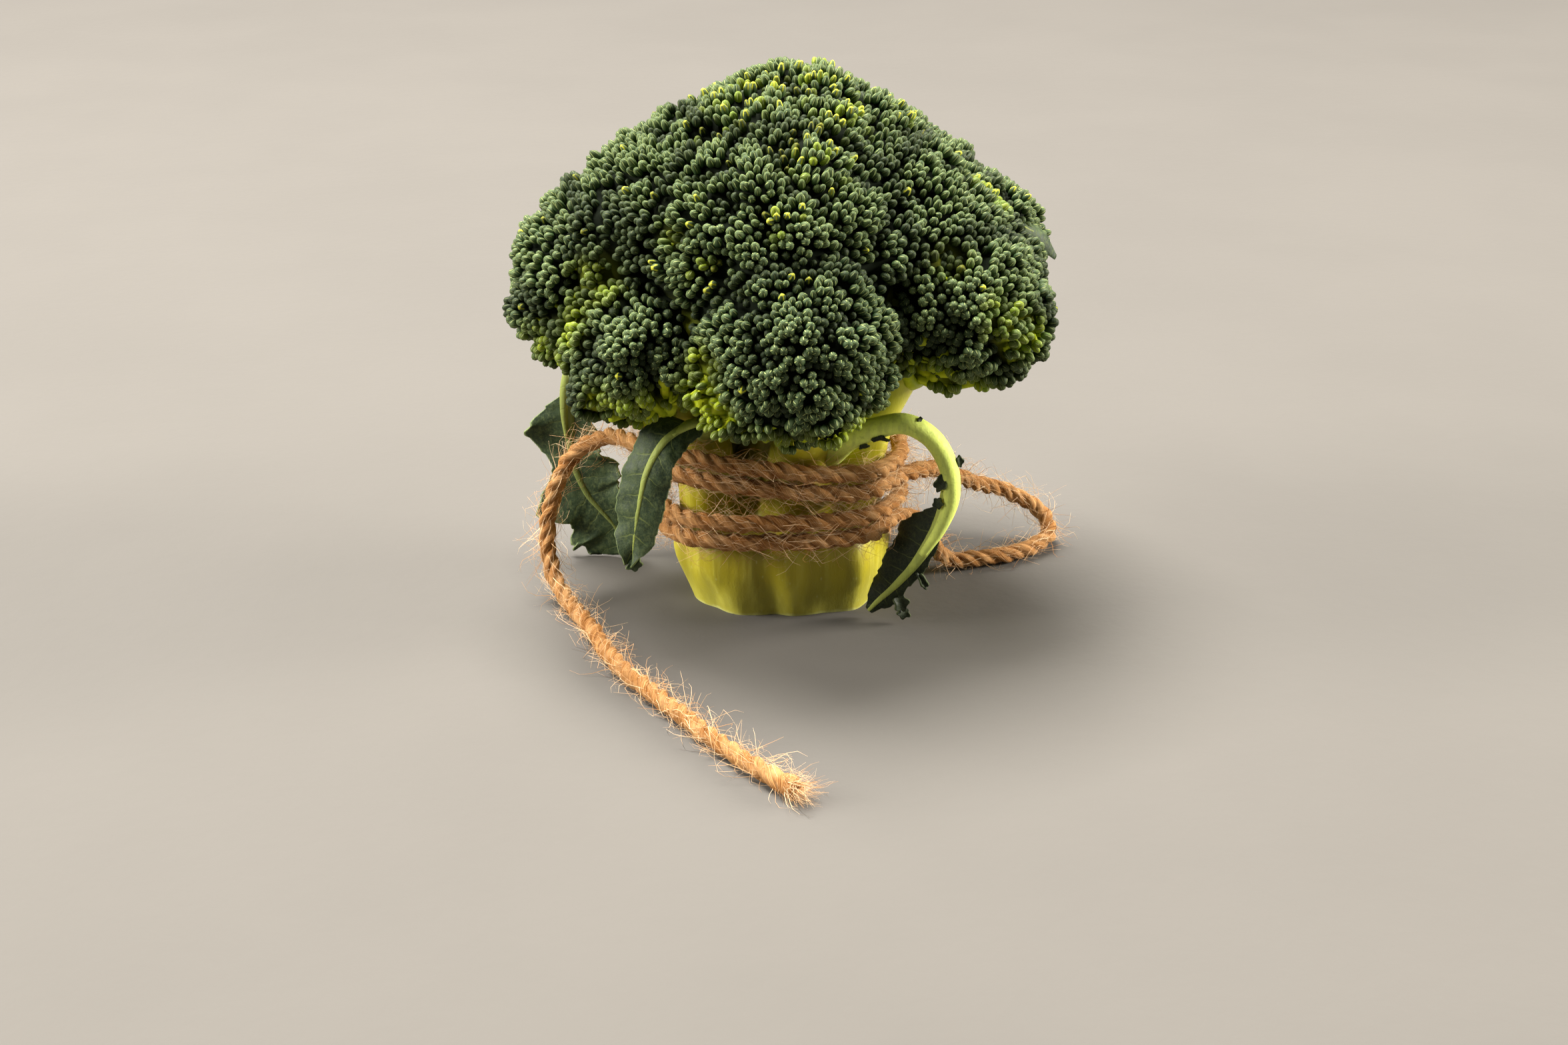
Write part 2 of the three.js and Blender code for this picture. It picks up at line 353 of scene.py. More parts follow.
twineLine[:, 2] = np.maximum(twineLine[:, 2], twine["lyingHeight"])
twineLength = np.linalg.norm(np.diff(twineLine, axis=0), axis=1).sum()
twineAlong, twineAcross, twineOut = framesOn(twineLine)


def plyRadius(turn, place):
    # how far out the three plies reach at an angle, with slow changes along the twine
    local = (turn * 3 / (2 * math.pi)) % 1 - 0.5
    ply = np.floor(turn * 3 / (2 * math.pi)) % 3
    bend = local * 2 * math.pi / 3
    offset, ownRadius = twine["plyOffset"], twine["plyWidth"] / 2
    edge = offset * np.cos(bend) + np.sqrt(np.maximum(ownRadius ** 2 - (offset * np.sin(bend)) ** 2, 0))
    swell = 1 + 0.06 * np.sin(place * 310 + ply * 2.1) + 0.04 * np.sin(place * 830 + ply * 4.4)
    strands = 0.00006 * np.sin(local * 30 + place * 1900)
    return edge * swell + strands


def placeTwine(u, v):
    i = np.rint(v * (len(twineLine) - 1)).astype(int)
    place = v * twineLength
    turn = 2 * math.pi * u
    left = (1 - v) * twineLength
    opened = ease(left, 0.014, 0.0)  # the plies open out towards the free end
    radius = plyRadius(turn, place) * (1 + 0.22 * opened)
    angle = turn - 2 * math.pi * place / twine["turnLength"] + 1.3 * opened
    side = twineAcross[i] * np.cos(angle)[:, None] + twineOut[i] * np.sin(angle)[:, None]
    points = twineLine[i] + side * radius[:, None]
    points[:, 2] = np.maximum(points[:, 2], 0.0001)
    return points


twinePiece = gridPiece("juteTwine", twine["pointsRound"], len(twineLine) - 1, placeTwine, rolled=True)


def fibreShapes():
    # four thin fibres of length 1 along Z, each bent in its own way
    shapes = []
    for bend, curl in ((0.14, 1.6), (0.26, 2.6), (-0.20, 3.4), (0.32, 4.4)):
        def place(u, v, bend=bend, curl=curl):
            turn = 2 * math.pi * u
            thick = twine["fibreThickness"] / 0.007 * (1 - 0.75 * v)
            x = bend * np.sin(curl * v) * v ** 0.7 + thick * np.cos(turn)
            y = bend * 0.6 * (1 - np.cos(curl * 1.3 * v)) + thick * np.sin(turn)
            return np.stack([x, y, v], 1)
        shapes.append(takeShape(gridPiece("fibre", 3, 4, place, rolled=True)))
    return shapes


def takeShape(piece):
    # a shape's numbers, to copy it from; the shape itself goes
    mesh = piece.data
    corners = np.empty(len(mesh.loops), int)
    mesh.loops.foreach_get("vertex_index", corners)
    sizes = np.empty(len(mesh.polygons), int)
    mesh.polygons.foreach_get("loop_total", sizes)
    uv = np.empty(len(mesh.loops) * 2)
    mesh.uv_layers[0].uv.foreach_get("vector", uv)
    shape = {"points": pointsOf(piece), "corners": corners, "sizes": sizes, "uv": uv.reshape(-1, 2)}
    bpy.data.objects.remove(piece, do_unlink=True)
    return shape


def turnsTo(directions, spins, widths, heights):
    # a turn for each copy that points its Z along a direction, spun about it and scaled
    up = unit(directions)
    helper = np.where(np.abs(up[:, 2:]) < 0.9, (0.0, 0.0, 1.0), (1.0, 0.0, 0.0))
    side = unit(np.cross(helper, up))
    front = np.cross(up, side)
    cos, sin = np.cos(spins)[:, None], np.sin(spins)[:, None]
    columns = (
        (side * cos + front * sin) * widths[:, None],
        (front * cos - side * sin) * widths[:, None],
        up * heights[:, None],
    )
    return np.stack(columns, 2)


class Heap:
    # copies of shapes that are gathered into one mesh; bakeCells gives each its own bit of map

    def __init__(self):
        self.parts, self.pointCount, self.cellCount = [], 0, 0

    def add(self, shape, turns, places, tones, material=0):
        count, own = len(places), len(shape["points"])
        if not count:
            return
        points = np.einsum("nij,kj->nki", turns, shape["points"]) + places[:, None]
        corners = shape["corners"] + (np.arange(count) * own)[:, None] + self.pointCount
        self.parts.append({
            "points": points.reshape(-1, 3),
            "corners": corners.ravel(),
            "sizes": np.tile(shape["sizes"], count),
            "uv": np.tile(shape["uv"], (count, 1)),
            "cells": np.repeat(np.arange(count) + self.cellCount, len(shape["corners"])),
            "tones": np.repeat(tones, own, axis=0),
            "material": np.full(count * len(shape["sizes"]), material),
        })
        self.pointCount += count * own
        self.cellCount += count

    def build(self, name):
        whole = {key: np.concatenate([p[key] for p in self.parts]) for key in self.parts[0]}
        mesh = bpy.data.meshes.new(name)
        mesh.vertices.add(len(whole["points"]))
        mesh.vertices.foreach_set("co", whole["points"].astype(np.float32).ravel())
        mesh.loops.add(len(whole["corners"]))
        mesh.loops.foreach_set("vertex_index", whole["corners"].astype(np.int32))
        mesh.polygons.add(len(whole["sizes"]))
        starts = np.r_[0, np.cumsum(whole["sizes"])[:-1]]
        mesh.polygons.foreach_set("loop_start", starts.astype(np.int32))
        mesh.polygons.foreach_set("material_index", whole["material"].astype(np.int32))
        mesh.polygons.foreach_set("use_smooth", np.ones(len(starts), bool))
        mesh.update(calc_edges=True)
        columns = math.ceil(math.sqrt(self.cellCount))
        corner = np.stack([whole["cells"] % columns, whole["cells"] // columns], 1)
        bakeCells = (corner + 0.06 + 0.88 * whole["uv"]) / columns
        for layer, uv in (("UVMap", whole["uv"]), ("OFBake", bakeCells)):
            made = mesh.uv_layers.new(name=layer, do_init=False)
            made.uv.foreach_set("vector", uv.astype(np.float32).ravel())
        tones = mesh.attributes.new("tone", "FLOAT_COLOR", "POINT")
        full = np.c_[whole["tones"], np.ones(len(whole["tones"]))]
        tones.data.foreach_set("color", full.astype(np.float32).ravel())
        piece = bpy.data.objects.new(name, mesh)
        bpy.context.scene.collection.objects.link(piece)
        return piece


def fuzzPiece():
    chance = np.random.default_rng(11)
    shapes = fibreShapes()
    heap = Heap()
    count = twine["fibres"]
    last = len(twineLine) - 1
    rings = chance.integers(2, last - 2, count)
    angle = chance.uniform(0, 2 * math.pi, count)
    side = twineAcross[rings] * np.cos(angle)[:, None] + twineOut[rings] * np.sin(angle)[:, None]
    roots = twineLine[rings] + side * twine["fibreRoot"]
    lift = chance.beta(1.3, 2.6, count)[:, None]  # most fibres lie close to the twine
    sweep = twineAlong[rings] * chance.choice((-1, 1), count)[:, None]
    aim = side * (0.12 + 1.1 * lift) + sweep + chance.normal(0, 0.22, (count, 3))
    lengths = chance.uniform(*twine["fibreLength"], count) * (1.15 - 0.5 * lift[:, 0])
    ends = twineLine[last]
    frayed = twine["frayedFibres"]
    spreadOut = chance.normal(0, 0.42, (frayed, 3))
    endRoots = ends - twineAlong[last] * chance.uniform(0, 0.004, frayed)[:, None]
    endRoots = endRoots + chance.normal(0, 0.0010, (frayed, 3))
    roots = np.vstack([roots, endRoots])
    aim = np.vstack([aim, twineAlong[last] + spreadOut])
    lengths = np.r_[lengths, chance.uniform(*twine["frayedLength"], frayed)]
    roots[:, 2] = np.maximum(roots[:, 2], 0.0006)
    tips = roots + unit(aim) * lengths[:, None]
    low = tips[:, 2] < 0.0012
    aim[low, 2] = np.abs(aim[low, 2]) * 0.15
    spins = chance.uniform(0, 2 * math.pi, len(roots))
    tones = np.stack([chance.uniform(0, 1, len(roots))] * 3, 1)
    kind = chance.integers(0, len(shapes), len(roots))
    turns = turnsTo(aim, spins, lengths, lengths)
    for i, shape in enumerate(shapes):
        own = kind == i
        heap.add(shape, turns[own], roots[own], tones[own])
    piece = heap.build("juteFuzz")
    points = pointsOf(piece)
    points[:, 2] = np.maximum(points[:, 2], 0.0002)
    movePoints(piece, points)
    return piece


def juteMaterial():
    material, shader = newMaterial("spunJute")
    uv = ownMap()
    # each fibre runs nearly along its ply, leaning the other way than the ply turns
    leaned = plus(uv["X"], times(uv["Y"], 24.0))
    fibreSpace = addNode("CombineXYZ", {"X": times(leaned, 90.0), "Y": times(uv["Y"], 190.0)})
    fibres = addNoise(fibreSpace.outputs["Vector"], 1.0, 4.0, 0.6)
    patches = addNoise(objectPlace(), 260.0, 3.0)
    colour = mixColours(spread(fibres, 0.32, 0.66), twine["dark"], twine["middle"])
    colour = mixColours(spread(fibres, 0.52, 0.75), colour, twine["light"])
    colour = mixColours(spread(patches, 0.35, 0.75, 0.0, 0.45), colour, twine["light"])
    finishWith(shader, colour, 0.9, 0.2, fibres, 0.0005, 1.0)
    return material


def fuzzMaterial():
    material, shader = newMaterial("looseJute")
    tone = addNode("Attribute", attribute_name="tone").outputs["Fac"]
    finishWith(shader, mixColours(tone, twine["middle"], twine["looseLight"]), 0.8, 0.25)
    return material


fuzz = fuzzPiece()
wear(twinePiece, juteMaterial())
wear(fuzz, fuzzMaterial())
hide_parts("twine_lower_wraps", "twine_loop", "twine_upper_wraps", "twine_tail")
for piece in (twinePiece, fuzz):
    belong(piece, "twine")
print("twine", round(float(twineLength), 3), "m,", len(twinePiece.data.polygons), "faces")


# Stalk: a ribbed trunk and seven limbs grown together, cut flat below

stalk = {
    "levels": [  # height, half width, half depth, middle x, middle y
        (-0.004, 0.0238, 0.0193, 0, 0), (0, 0.0245, 0.020, 0, 0), (0.006, 0.0265, 0.022, -0.0003, 0),
        (0.013, 0.0283, 0.0241, -0.001, 0.0003), (0.020, 0.0283, 0.0243, -0.001, 0.0008),
        (0.026, 0.0245, 0.0205, 0.0005, 0.0020), (0.033, 0.0165, 0.0140, 0.003, 0.005),
        (0.042, 0.0140, 0.0130, 0.004, 0.0065), (0.052, 0.0145, 0.0140, 0.0045, 0.007),
        (0.064, 0.018, 0.018, 0.004, 0.008), (0.078, 0.015, 0.015, 0.003, 0.010),
    ],
    "squareness": 2.9,
    "ribs": 9,
    "ribDepth": 0.03,
    "cell": 0.00085,  # size of the skin's faces
    "pale": (0.56, 0.53, 0.075),
    "flesh": (0.42, 0.36, 0.007),
    "shaded": (0.25, 0.21, 0.003),
    "fleck": (0.62, 0.66, 0.30),
    "nearCut": (0.50, 0.50, 0.10),
    # greener towards the florets, and painted lighter there as painted light under the head
    "greenerAndLitNearFlorets": (0.58, 0.60, 0.055),
    "cutEdge": (0.62, 0.66, 0.24),
    "pith": (0.66, 0.70, 0.40),
    "vessels": (0.36, 0.48, 0.12),
    "rind": (0.60, 0.62, 0.30),
}
limbs = {
    "front": ([(2, -9, 6), (3, -14, 34), (4.5, -16.5, 46), (6, -30, 70)], [10, 9.4, 7.9, 9.5]),
    "right": ([(13, -6, 6), (17.5, -7, 32), (19.5, -7.5, 46), (31, -9, 74)], [9.5, 9, 8, 8.5]),
    "leftFront": ([(-14, -8, 6), (-20, -11, 30), (-21.5, -11.5, 48), (-33, -22, 69)], [8.5, 7.8, 6.8, 7.5]),
    "left": ([(-14, 2, 6), (-21.5, 2.5, 32), (-23.5, 2, 48), (-44, -1, 76)], [9, 8, 7.5, 8.5]),
    "backLeft": ([(-11, 10, 6), (-16, 16, 32), (-18, 18.2, 48), (-34, 34, 74)], [9, 8.5, 8, 9]),
    "back": ([(2, 11, 6), (3, 17.5, 34), (4, 20, 46), (4, 46, 74)], [9, 9, 8, 9.5]),
    "rightBack": ([(13, 7, 6), (17, 11, 32), (18.5, 13, 46), (38, 20, 76)], [9, 9, 8.5, 9.5]),
}
limbLines = {
    name: (smoothLine(millimetres(points), 0.0015), millimetres(radii))
    for name, (points, radii) in limbs.items()
}


def placeTrunk(u, v):
    levels = np.array(stalk["levels"])
    knots = np.linspace(0, 1, 61)
    fine = np.stack([np.interp(knots, np.linspace(0, 1, len(levels)), levels[:, k]) for k in range(5)], 1)
    for _ in range(3):  # evens out the corners between levels
        fine[1:-1] = (fine[:-2] + 2 * fine[1:-1] + fine[2:]) / 4
    z, halfWidth, halfDepth, midX, midY = fine[np.rint(v * 60).astype(int)].T
    turn = 2 * math.pi * u
    edge = (
        np.abs(np.cos(turn) / halfWidth) ** stalk["squareness"]
        + np.abs(np.sin(turn) / halfDepth) ** stalk["squareness"]
    ) ** (-1 / stalk["squareness"])
    ribs = 1 + stalk["ribDepth"] * np.cos(stalk["ribs"] * turn + 5 * z / 0.08)
    ribs = ribs + 0.012 * np.cos(4 * turn + 1.1) + 0.010 * np.cos(17 * turn + 60 * z)
    return np.stack([midX + edge * ribs * np.cos(turn), midY + edge * ribs * np.sin(turn), z], 1)


def buildStalk():
    parts = [gridPiece("trunk", 96, 60, placeTrunk, rolled=True)]
    for name, (line, radii) in limbLines.items():
        parts.append(gridPiece(name, 28, len(line) - 1, tubePlace(line, radii), rolled=True))
    piece = joinPieces(parts, "stalkFlesh")
    shapeWith(piece, "REMESH", mode="VOXEL", voxel_size=stalk["cell"])
    shapeWith(piece, "SMOOTH", factor=0.6, iterations=14)
    points = pointsOf(piece)
    normals = normalsOf(piece)
    turn = np.arctan2(points[:, 1] - 0.003, points[:, 0])
    swells = roughness3d(np.c_[np.cos(turn) * 0.03, np.sin(turn) * 0.03, points[:, 2] * 0.25], 0.006)
    dents = roughness3d(points, 0.009, 4.0)
    points = points + normals * (0.00045 * swells + 0.00035 * dents)[:, None]
    movePoints(piece, points)
    makeActive(piece)
    bpy.ops.object.mode_set(mode="EDIT")
    bpy.ops.mesh.select_all(action="SELECT")
    bpy.ops.mesh.bisect(plane_co=(0, 0, 0.00001), plane_no=(0, 0, 1), use_fill=True, clear_inner=True)
    bpy.ops.object.mode_set(mode="OBJECT")
    points = pointsOf(piece)
    points[:, 2] = np.maximum(points[:, 2], 0)
    movePoints(piece, points)
    bpy.ops.object.shade_smooth_by_angle(angle=math.radians(50))
    return piece


def stalkMaterial():
    material, shader = newMaterial("stalkSkin")
    place = objectPlace()
    height = addNode("SeparateXYZ", {"Vector": place}).outputs["Z"]
    streaks = addNoise(stretched(place, (330, 330, 34)), 1.0, 4.0, 0.6)
    broad = addNoise(stretched(place, (90, 90, 16)), 1.0, 2.0)
    flecks = addNode("TexVoronoi", {"Vector": stretched(place, (420, 420, 200)), "Scale": 1.0})
    colour = mixColours(spread(broad, 0.36, 0.62), stalk["shaded"], stalk["flesh"])
    colour = mixColours(spread(streaks, 0.42, 0.75, 0.0, 0.55), colour, stalk["pale"])
    colour = mixColours(spread(flecks.outputs["Distance"], 0.0, 0.16, 0.35, 0.0), colour, stalk["fleck"])
    colour = mixColours(spread(height, 0.0, 0.018, 0.42, 0.0), colour, stalk["nearCut"])
    # greener towards the florets, and painted light: lighter under the head
    colour = mixColours(spread(height, 0.035, 0.060, 0.0, 0.5), colour, stalk["greenerAndLitNearFlorets"])
    fromCut = plus(height, times(addNoise(stretched(place, (260, 260, 20)), 1.0), 0.0022))
    colour = mixColours(spread(fromCut, 0.0010, 0.0022, 0.65, 0.0), colour, stalk["cutEdge"])
    # the cut face itself: pale pith inside a ring of vessels
    facing = addNode("NewGeometry").outputs["Normal"]
    down = spread(addNode("SeparateXYZ", {"Vector": facing}).outputs["Z"], -0.7, -0.95)
    onCut = times(down, spread(height, 0.0008, 0.0002))
    fromMiddle = addNode("VectorMath", {0: stretched(place, (41, 50, 0))}, operation="LENGTH")
    rings = plus(fromMiddle.outputs["Value"], times(broad, 0.12))
    cutFace = mixColours(spread(rings, 0.80, 0.90), stalk["pith"], stalk["vessels"])
    cutFace = mixColours(spread(rings, 0.97, 1.03), cutFace, stalk["rind"])
    colour = mixColours(onCut, colour, cutFace)
    bump = plus(streaks, times(addNoise(place, 1500.0, 2.0), 0.25))
    finishWith(shader, colour, spread(streaks, 0.3, 0.7, 0.34, 0.5), 0.45, bump, 0.00035, 0.5)
    shader.inputs["Subsurface Weight"].default_value = 0.12
    shader.inputs["Subsurface Radius"].default_value = (0.004, 0.005, 0.001)
    shader.inputs["Subsurface Scale"].default_value = 1.0
    return material


stalkPiece = buildStalk()
wear(stalkPiece, stalkMaterial())
belong(stalkPiece, "stalk", "stalk")
print("stalk", len(stalkPiece.data.polygons), "faces")


# Florets: domes of buds on short green stems

buds = {
    "spacing": 0.00212,
    "width": 0.00272,
    "height": 0.0034,
    "lobeSpacing": 0.0165,  # the larger swellings on each dome
    "lobeDepth": 0.0020,
    "clusterSpacing": 0.0070,  # the small groups of buds
    "clusterDepth": 0.0014,
    "unevenness": 0.11,  # of the ways the buds point
    "openings": 0.28,  # share of buds missing where groups part
    "looseOpenings": 0.42,
    "petalShare": 0.17,  # share of opening buds in the petal spots
    "strayPetals": 0.008,
    "shade": (0.004, 0.009, 0.003),  # where the head is creased
    "dark": (0.010, 0.026, 0.006),
    "middle": (0.032, 0.062, 0.015),
    "bluish": (0.024, 0.064, 0.026),
    "bloom": (0.170, 0.220, 0.095),
    "bloomAndShadeShares": {"front": 0.50, "left_front": 0.75},  # painted shade: lower florets are painted darker and wear less bloom
    "seam": (0.46, 0.53, 0.20),
    "besideSeam": (0.012, 0.028, 0.008),
    "fresh": (0.42, 0.50, 0.010),
    "freshDark": (0.15, 0.25, 0.010),
    # painted shade: the dark feet of the buds, down among the buds
    "foot": (0.010, 0.020, 0.004),
    "freshFoot": (0.24, 0.32, 0.008),
    "petal": (0.46, 0.47, 0.035),
}
stems = {
    "reach": 0.0075,
    "looseReach": 0.003,  # how much longer they are where buds stand apart
    "bodyDepth": 0.0030,  # of the body, below the buds' tips
    "looseBodyDepth": 0.0035,
    "branchWidth": (0.0030, 0.0046),
    "pale": (0.50, 0.54, 0.025),
    "fresh": (0.38, 0.46, 0.006),
    "dull": (0.10, 0.20, 0.03),
    # painted shade: near black for the stems and body lying deep under the buds
    "deepShade": (0.002, 0.004, 0.001),
}
# middle and half sizes in millimetres, the way each dome faces, and how far round its buds go
florets = {
    "crown": ((3, 12, 105), (36, 36, 37), (0, 0, 1), 110),
    "upper_front": ((-2, -18, 98), (33, 30, 31), (0, -0.45, 1), 110),
    "upper_left": ((-27, 2, 96), (31, 32, 32.5), (-0.5, -0.05, 1), 110),
    "upper_right": ((32, 2, 92), (29, 32, 30), (0.5, -0.05, 1), 110),
    "upper_back_left": ((-22, 36, 94), (29, 28, 29), (-0.4, 0.5, 1), 110),
    "upper_back_right": ((26, 38, 94), (29, 28, 29), (0.4, 0.5, 1), 110),
    "left": ((-50, -2, 89), (22, 25, 24), (-0.85, -0.1, 1), 124),
    "left_front": ((-36, -25, 76.5), (20, 22, 19.5), (-0.6, -0.7, 0.9), 122),
    "front": ((3, -37, 81), (27, 27, 26), (-0.1, -0.75, 0.9), 130),
    "right": ((43.5, -15, 84.5), (25, 26, 21.5), (0.6, -0.55, 1), 136),
    "right_back": ((47, 22, 88), (25, 26, 24), (0.85, 0.3, 1), 122),
    "back": ((4, 56, 83), (27, 24, 23), (0, 0.9, 1), 122),
    "back_left": ((-39, 36, 83), (25, 25, 22), (-0.7, 0.6, 1), 122),
}
swellings = [  # smaller domes that belong to a floret
    ("front", (-15, -43, 70.5), (11.5, 10, 10.5)), ("right_back", (55, 4, 85), (14, 15, 15)),
    ("left", (-60, -13, 82), (10, 11, 12)), ("left_front", (-43, -29, 69), (11, 12, 10)),
    ("upper_left", (-38, -12, 101), (15, 15, 14)), ("right", (57, -23, 81), (11, 12, 12)),
]
stemRoots = {  # where each lower floret's stems fan out from
    "left": (-38, -1, 66), "left_front": (-29, -19, 59), "front": (5.5, -26, 62),
    "right": (33, -10, 66), "right_back": (33, 19, 66), "back": (4, 38, 64), "back_left": (-29, 30, 66),
}
# spots where the buds are young and green, and their reach, in millimetres
freshSpots = [
    ((-18, -46, 70), 11), ((-19, -47, 80), 7), ((-43, -42, 66), 9), ((-32, -45, 69), 6),
    ((-52, -28, 84), 8), ((-56, -24, 74), 7), ((56, -36, 88), 9), ((60, -30, 82), 8),
    ((-46, -26, 95), 9), ((-60, -20, 77), 8),
    ((54, 0, 108), 6), ((-27, -31, 108), 5), ((40, -29, 102), 6), ((30, 60, 80), 9), ((-50, 48, 80), 8),
]
looseSpots = [((-19, -47, 70), 11), ((60, -33, 82), 9), ((-45, -38, 66), 7)]  # where the buds stand apart
petalSpots = [
    ((2, 3, 141), 12), ((16, -3, 136), 13), ((-8, -1, 138), 13), ((-16, -8, 130), 10),
    ((8, -24, 126), 12), ((-19, -42, 102), 6), ((0, -42, 115), 7), ((30, 10, 126), 9),
    ((10, 30, 134), 12), ((-20, 24, 126), 9), ((52, 2, 112), 7),
]


def selectWhere(piece, test):
    # selects the vertices that pass, in object mode, and goes back to editing
    bpy.ops.object.mode_set(mode="OBJECT")
    for vertex in piece.data.vertices:
        vertex.select = bool(test(vertex.co))
    bpy.ops.object.mode_set(mode="EDIT")


def budShape(kind):
    # one bud: four sepals closed over its tip, on a narrow foot
    clearSelection()
    bpy.ops.mesh.primitive_uv_sphere_add(segments=12, ring_count=5, radius=1)
    piece = bpy.context.object
    bpy.ops.object.mode_set(mode="EDIT")
    bpy.ops.mesh.select_mode(type="VERT")
    pivot = {"center_override": (0, 0, 0)}
    top = {"closed": 1.40, "tall": 1.26, "open": 1.15}[kind]
    for ring, width in ((-0.809, 0.84), (-0.309, 0.92), (0.309, 1.0), (0.809, top)):
        selectWhere(piece, lambda co, ring=ring: abs(co.z - ring) < 0.05)
        bpy.ops.transform.resize(value=(width, width, 1), **pivot)

    def onSeam(co):
        return co.z > -0.4 and co.xy.length > 0.1 and abs(math.sin(2 * math.atan2(co.y, co.x))) < 0.3

    selectWhere(piece, onSeam)  # the four seams between the sepals lie deeper
    bpy.ops.transform.resize(value=(0.84, 0.84, 1), **pivot)
    selectWhere(piece, lambda co: co.z > 0.95)
    dip = {"closed": -0.22, "tall": -0.13, "open": 0.22}[kind]
    bpy.ops.transform.translate(value=(0, 0, dip))
    bpy.ops.mesh.select_all(action="SELECT")
    bpy.ops.transform.translate(value=(0, 0, 0.9))
    bpy.ops.transform.resize(value=(0.5, 0.5, 0.54), **pivot)
    bpy.ops.object.mode_set(mode="OBJECT")
    return takeShape(piece)


def stemShape(sides, rings, bend, taper):
    # one stem of length 1 and width 1, bent a little and wider at its foot
    def place(u, v):
        turn = 2 * math.pi * u
        radius = 0.5 * (1 - (1 - taper) * v) * (1 + 0.25 * ease(v, 0.8, 1.0))
        return np.stack([radius * np.cos(turn) + bend * np.sin(math.pi * v), radius * np.sin(turn), v], 1)
    return takeShape(gridPiece("stem", sides, rings, place, rolled=True))


budShapes = [budShape("closed"), budShape("tall"), budShape("open")]
pedicel = stemShape(5, 3, 0.35, 0.8)
branchlet = stemShape(7, 5, 0.5, 0.62)


def coreShape():
    clearSelection()
    bpy.ops.mesh.primitive_uv_sphere_add(segments=48, ring_count=28, radius=1)
    return takeShape(bpy.context.object)


core = coreShape()


def spiralPoints(count, chance, jitter):
    # points spread evenly over a ball
    i = np.arange(count) + 0.5
    z = 1 - 2 * i / count
    turn = i * math.pi * (3 - math.sqrt(5)) + chance.uniform(0, 6)
    ring = np.sqrt(1 - z * z)
    points = np.stack([ring * np.cos(turn), ring * np.sin(turn), z], 1)
    return unit(points + chance.normal(0, jitter * math.sqrt(4 / count), (count, 3)))


def spotShare(points, spots):
    share = np.zeros(len(points))
    for middle, reach in spots:
        gap = np.linalg.norm(points - millimetres(middle), axis=1)
        share = np.maximum(share, ease(gap, reach / 1000 * 1.25, reach / 1000 * 0.4))
    return share


domes = [(name, *dome[:2]) for name, dome in florets.items()] + swellings
domeMiddles, domeSizes = (millimetres([dome[k] for dome in domes]) for k in (1, 2))
domeOwners = np.array([list(florets).index(dome[0]) for dome in domes])


def fillet(name, other):
    # how widely two domes run into each other; the lower lobes stay more apart
    if name == other:
        return 0.008
    if "front" in (name, other):
        return 0.006
    upper = [n == "crown" or n.startswith("upper") for n in (name, other)]
    return 0.020 if all(upper) else 0.012


fillets = np.array([[fillet(a[0], b[0]) for b in domes] for a in domes])


def domeGaps(points):
    # about how far each point lies outside each dome
    away = (points[:, None] - domeMiddles) / domeSizes
    reach = np.maximum(np.linalg.norm(away, axis=2), 1e-6)
    return (reach - 1) * reach / np.linalg.norm(away / domeSizes, axis=2)


def headGap(points):
    # about how far each point lies outside the whole head, where domes run together
    gaps = domeGaps(points)
    rows, nearest = np.arange(len(points)), gaps.argmin(1)
    own = gaps[rows, nearest]
    widths = fillets[nearest]
    overlap = np.clip(1 - (gaps - own[:, None]) / widths, 0, 1)
    overlap[rows, nearest] = 0
    return own - (overlap ** 2 * widths / 4).max(1)


def headFacing(points):
    steps = np.eye(3) * 0.0003
    return unit(np.stack([headGap(points + step) - headGap(points - step) for step in steps], 1))


def settle(points, rounds):
    # brings points onto the surface of the head
    for _ in range(rounds):
        points = points - headFacing(points) * (headGap(points) * 0.9)[:, None]
    return points


def treeOf(points):
    tree = kdtree.KDTree(len(points))
    for i, point in enumerate(points):
        tree.insert(point, i)
    tree.balance()
    return tree


def spreadOver(spacing, chance, rounds=4):
    # points about that far apart all over the head
    found = []
    for middle, size in zip(domeMiddles, domeSizes):
        count = round(4 * math.pi * size.mean() ** 2 / (spacing * 0.5) ** 2)
        found.append(middle + spiralPoints(count, chance, 0.6) * size)
    points = np.vstack(found)
    points = settle(points[headGap(points) > -0.0055], 3)
    tree = treeOf(points)
    free = np.ones(len(points), bool)
    chosen = []
    for i in chance.permutation(len(points)):
        if free[i]:
            chosen.append(i)
            free[[j for _, j, _ in tree.find_range(points[i], spacing * 0.8)]] = False
    points = points[chosen]
    for _ in range(rounds):  # evens them out
        tree = treeOf(points)
        beside = np.array([[j for _, j, _ in tree.find_n(point, 7)[1:]] for point in points])
        away = points[:, None] - points[beside]
        gap = np.linalg.norm(away, axis=2, keepdims=True)
        push = (away / np.maximum(gap, 1e-6) * np.clip(spacing * 1.15 - gap, 0, None)).sum(1) * 0.28
        points = settle(points + push, 1)
    return points


def nearestTwo(points, targets):
    # for each point, the nearest target, and how near it is to its border with the next: 0 at it
    tree = treeOf(targets)
    found = [tree.find_n(point, 2) for point in points]
    near = np.array([pair[0][1] for pair in found])
    gaps = np.array([[pair[0][2], pair[1][2]] for pair in found])
    return near, gaps[:, 1] - gaps[:, 0]


headChance = np.random.default_rng(40)
lobes = spreadOver(buds["lobeSpacing"], headChance)
clusters = spreadOver(buds["clusterSpacing"], headChance, 2)
clusterLift = headChance.normal(0, 0.0007, len(clusters)).clip(-0.0016, 0.0011)
budPlaces = spreadOver(buds["spacing"], headChance)
budOwners = domeOwners[domeGaps(budPlaces).argmin(1)]
print("head", len(budPlaces), "places for buds,", len(clusters), "groups,", len(lobes), "lobes")


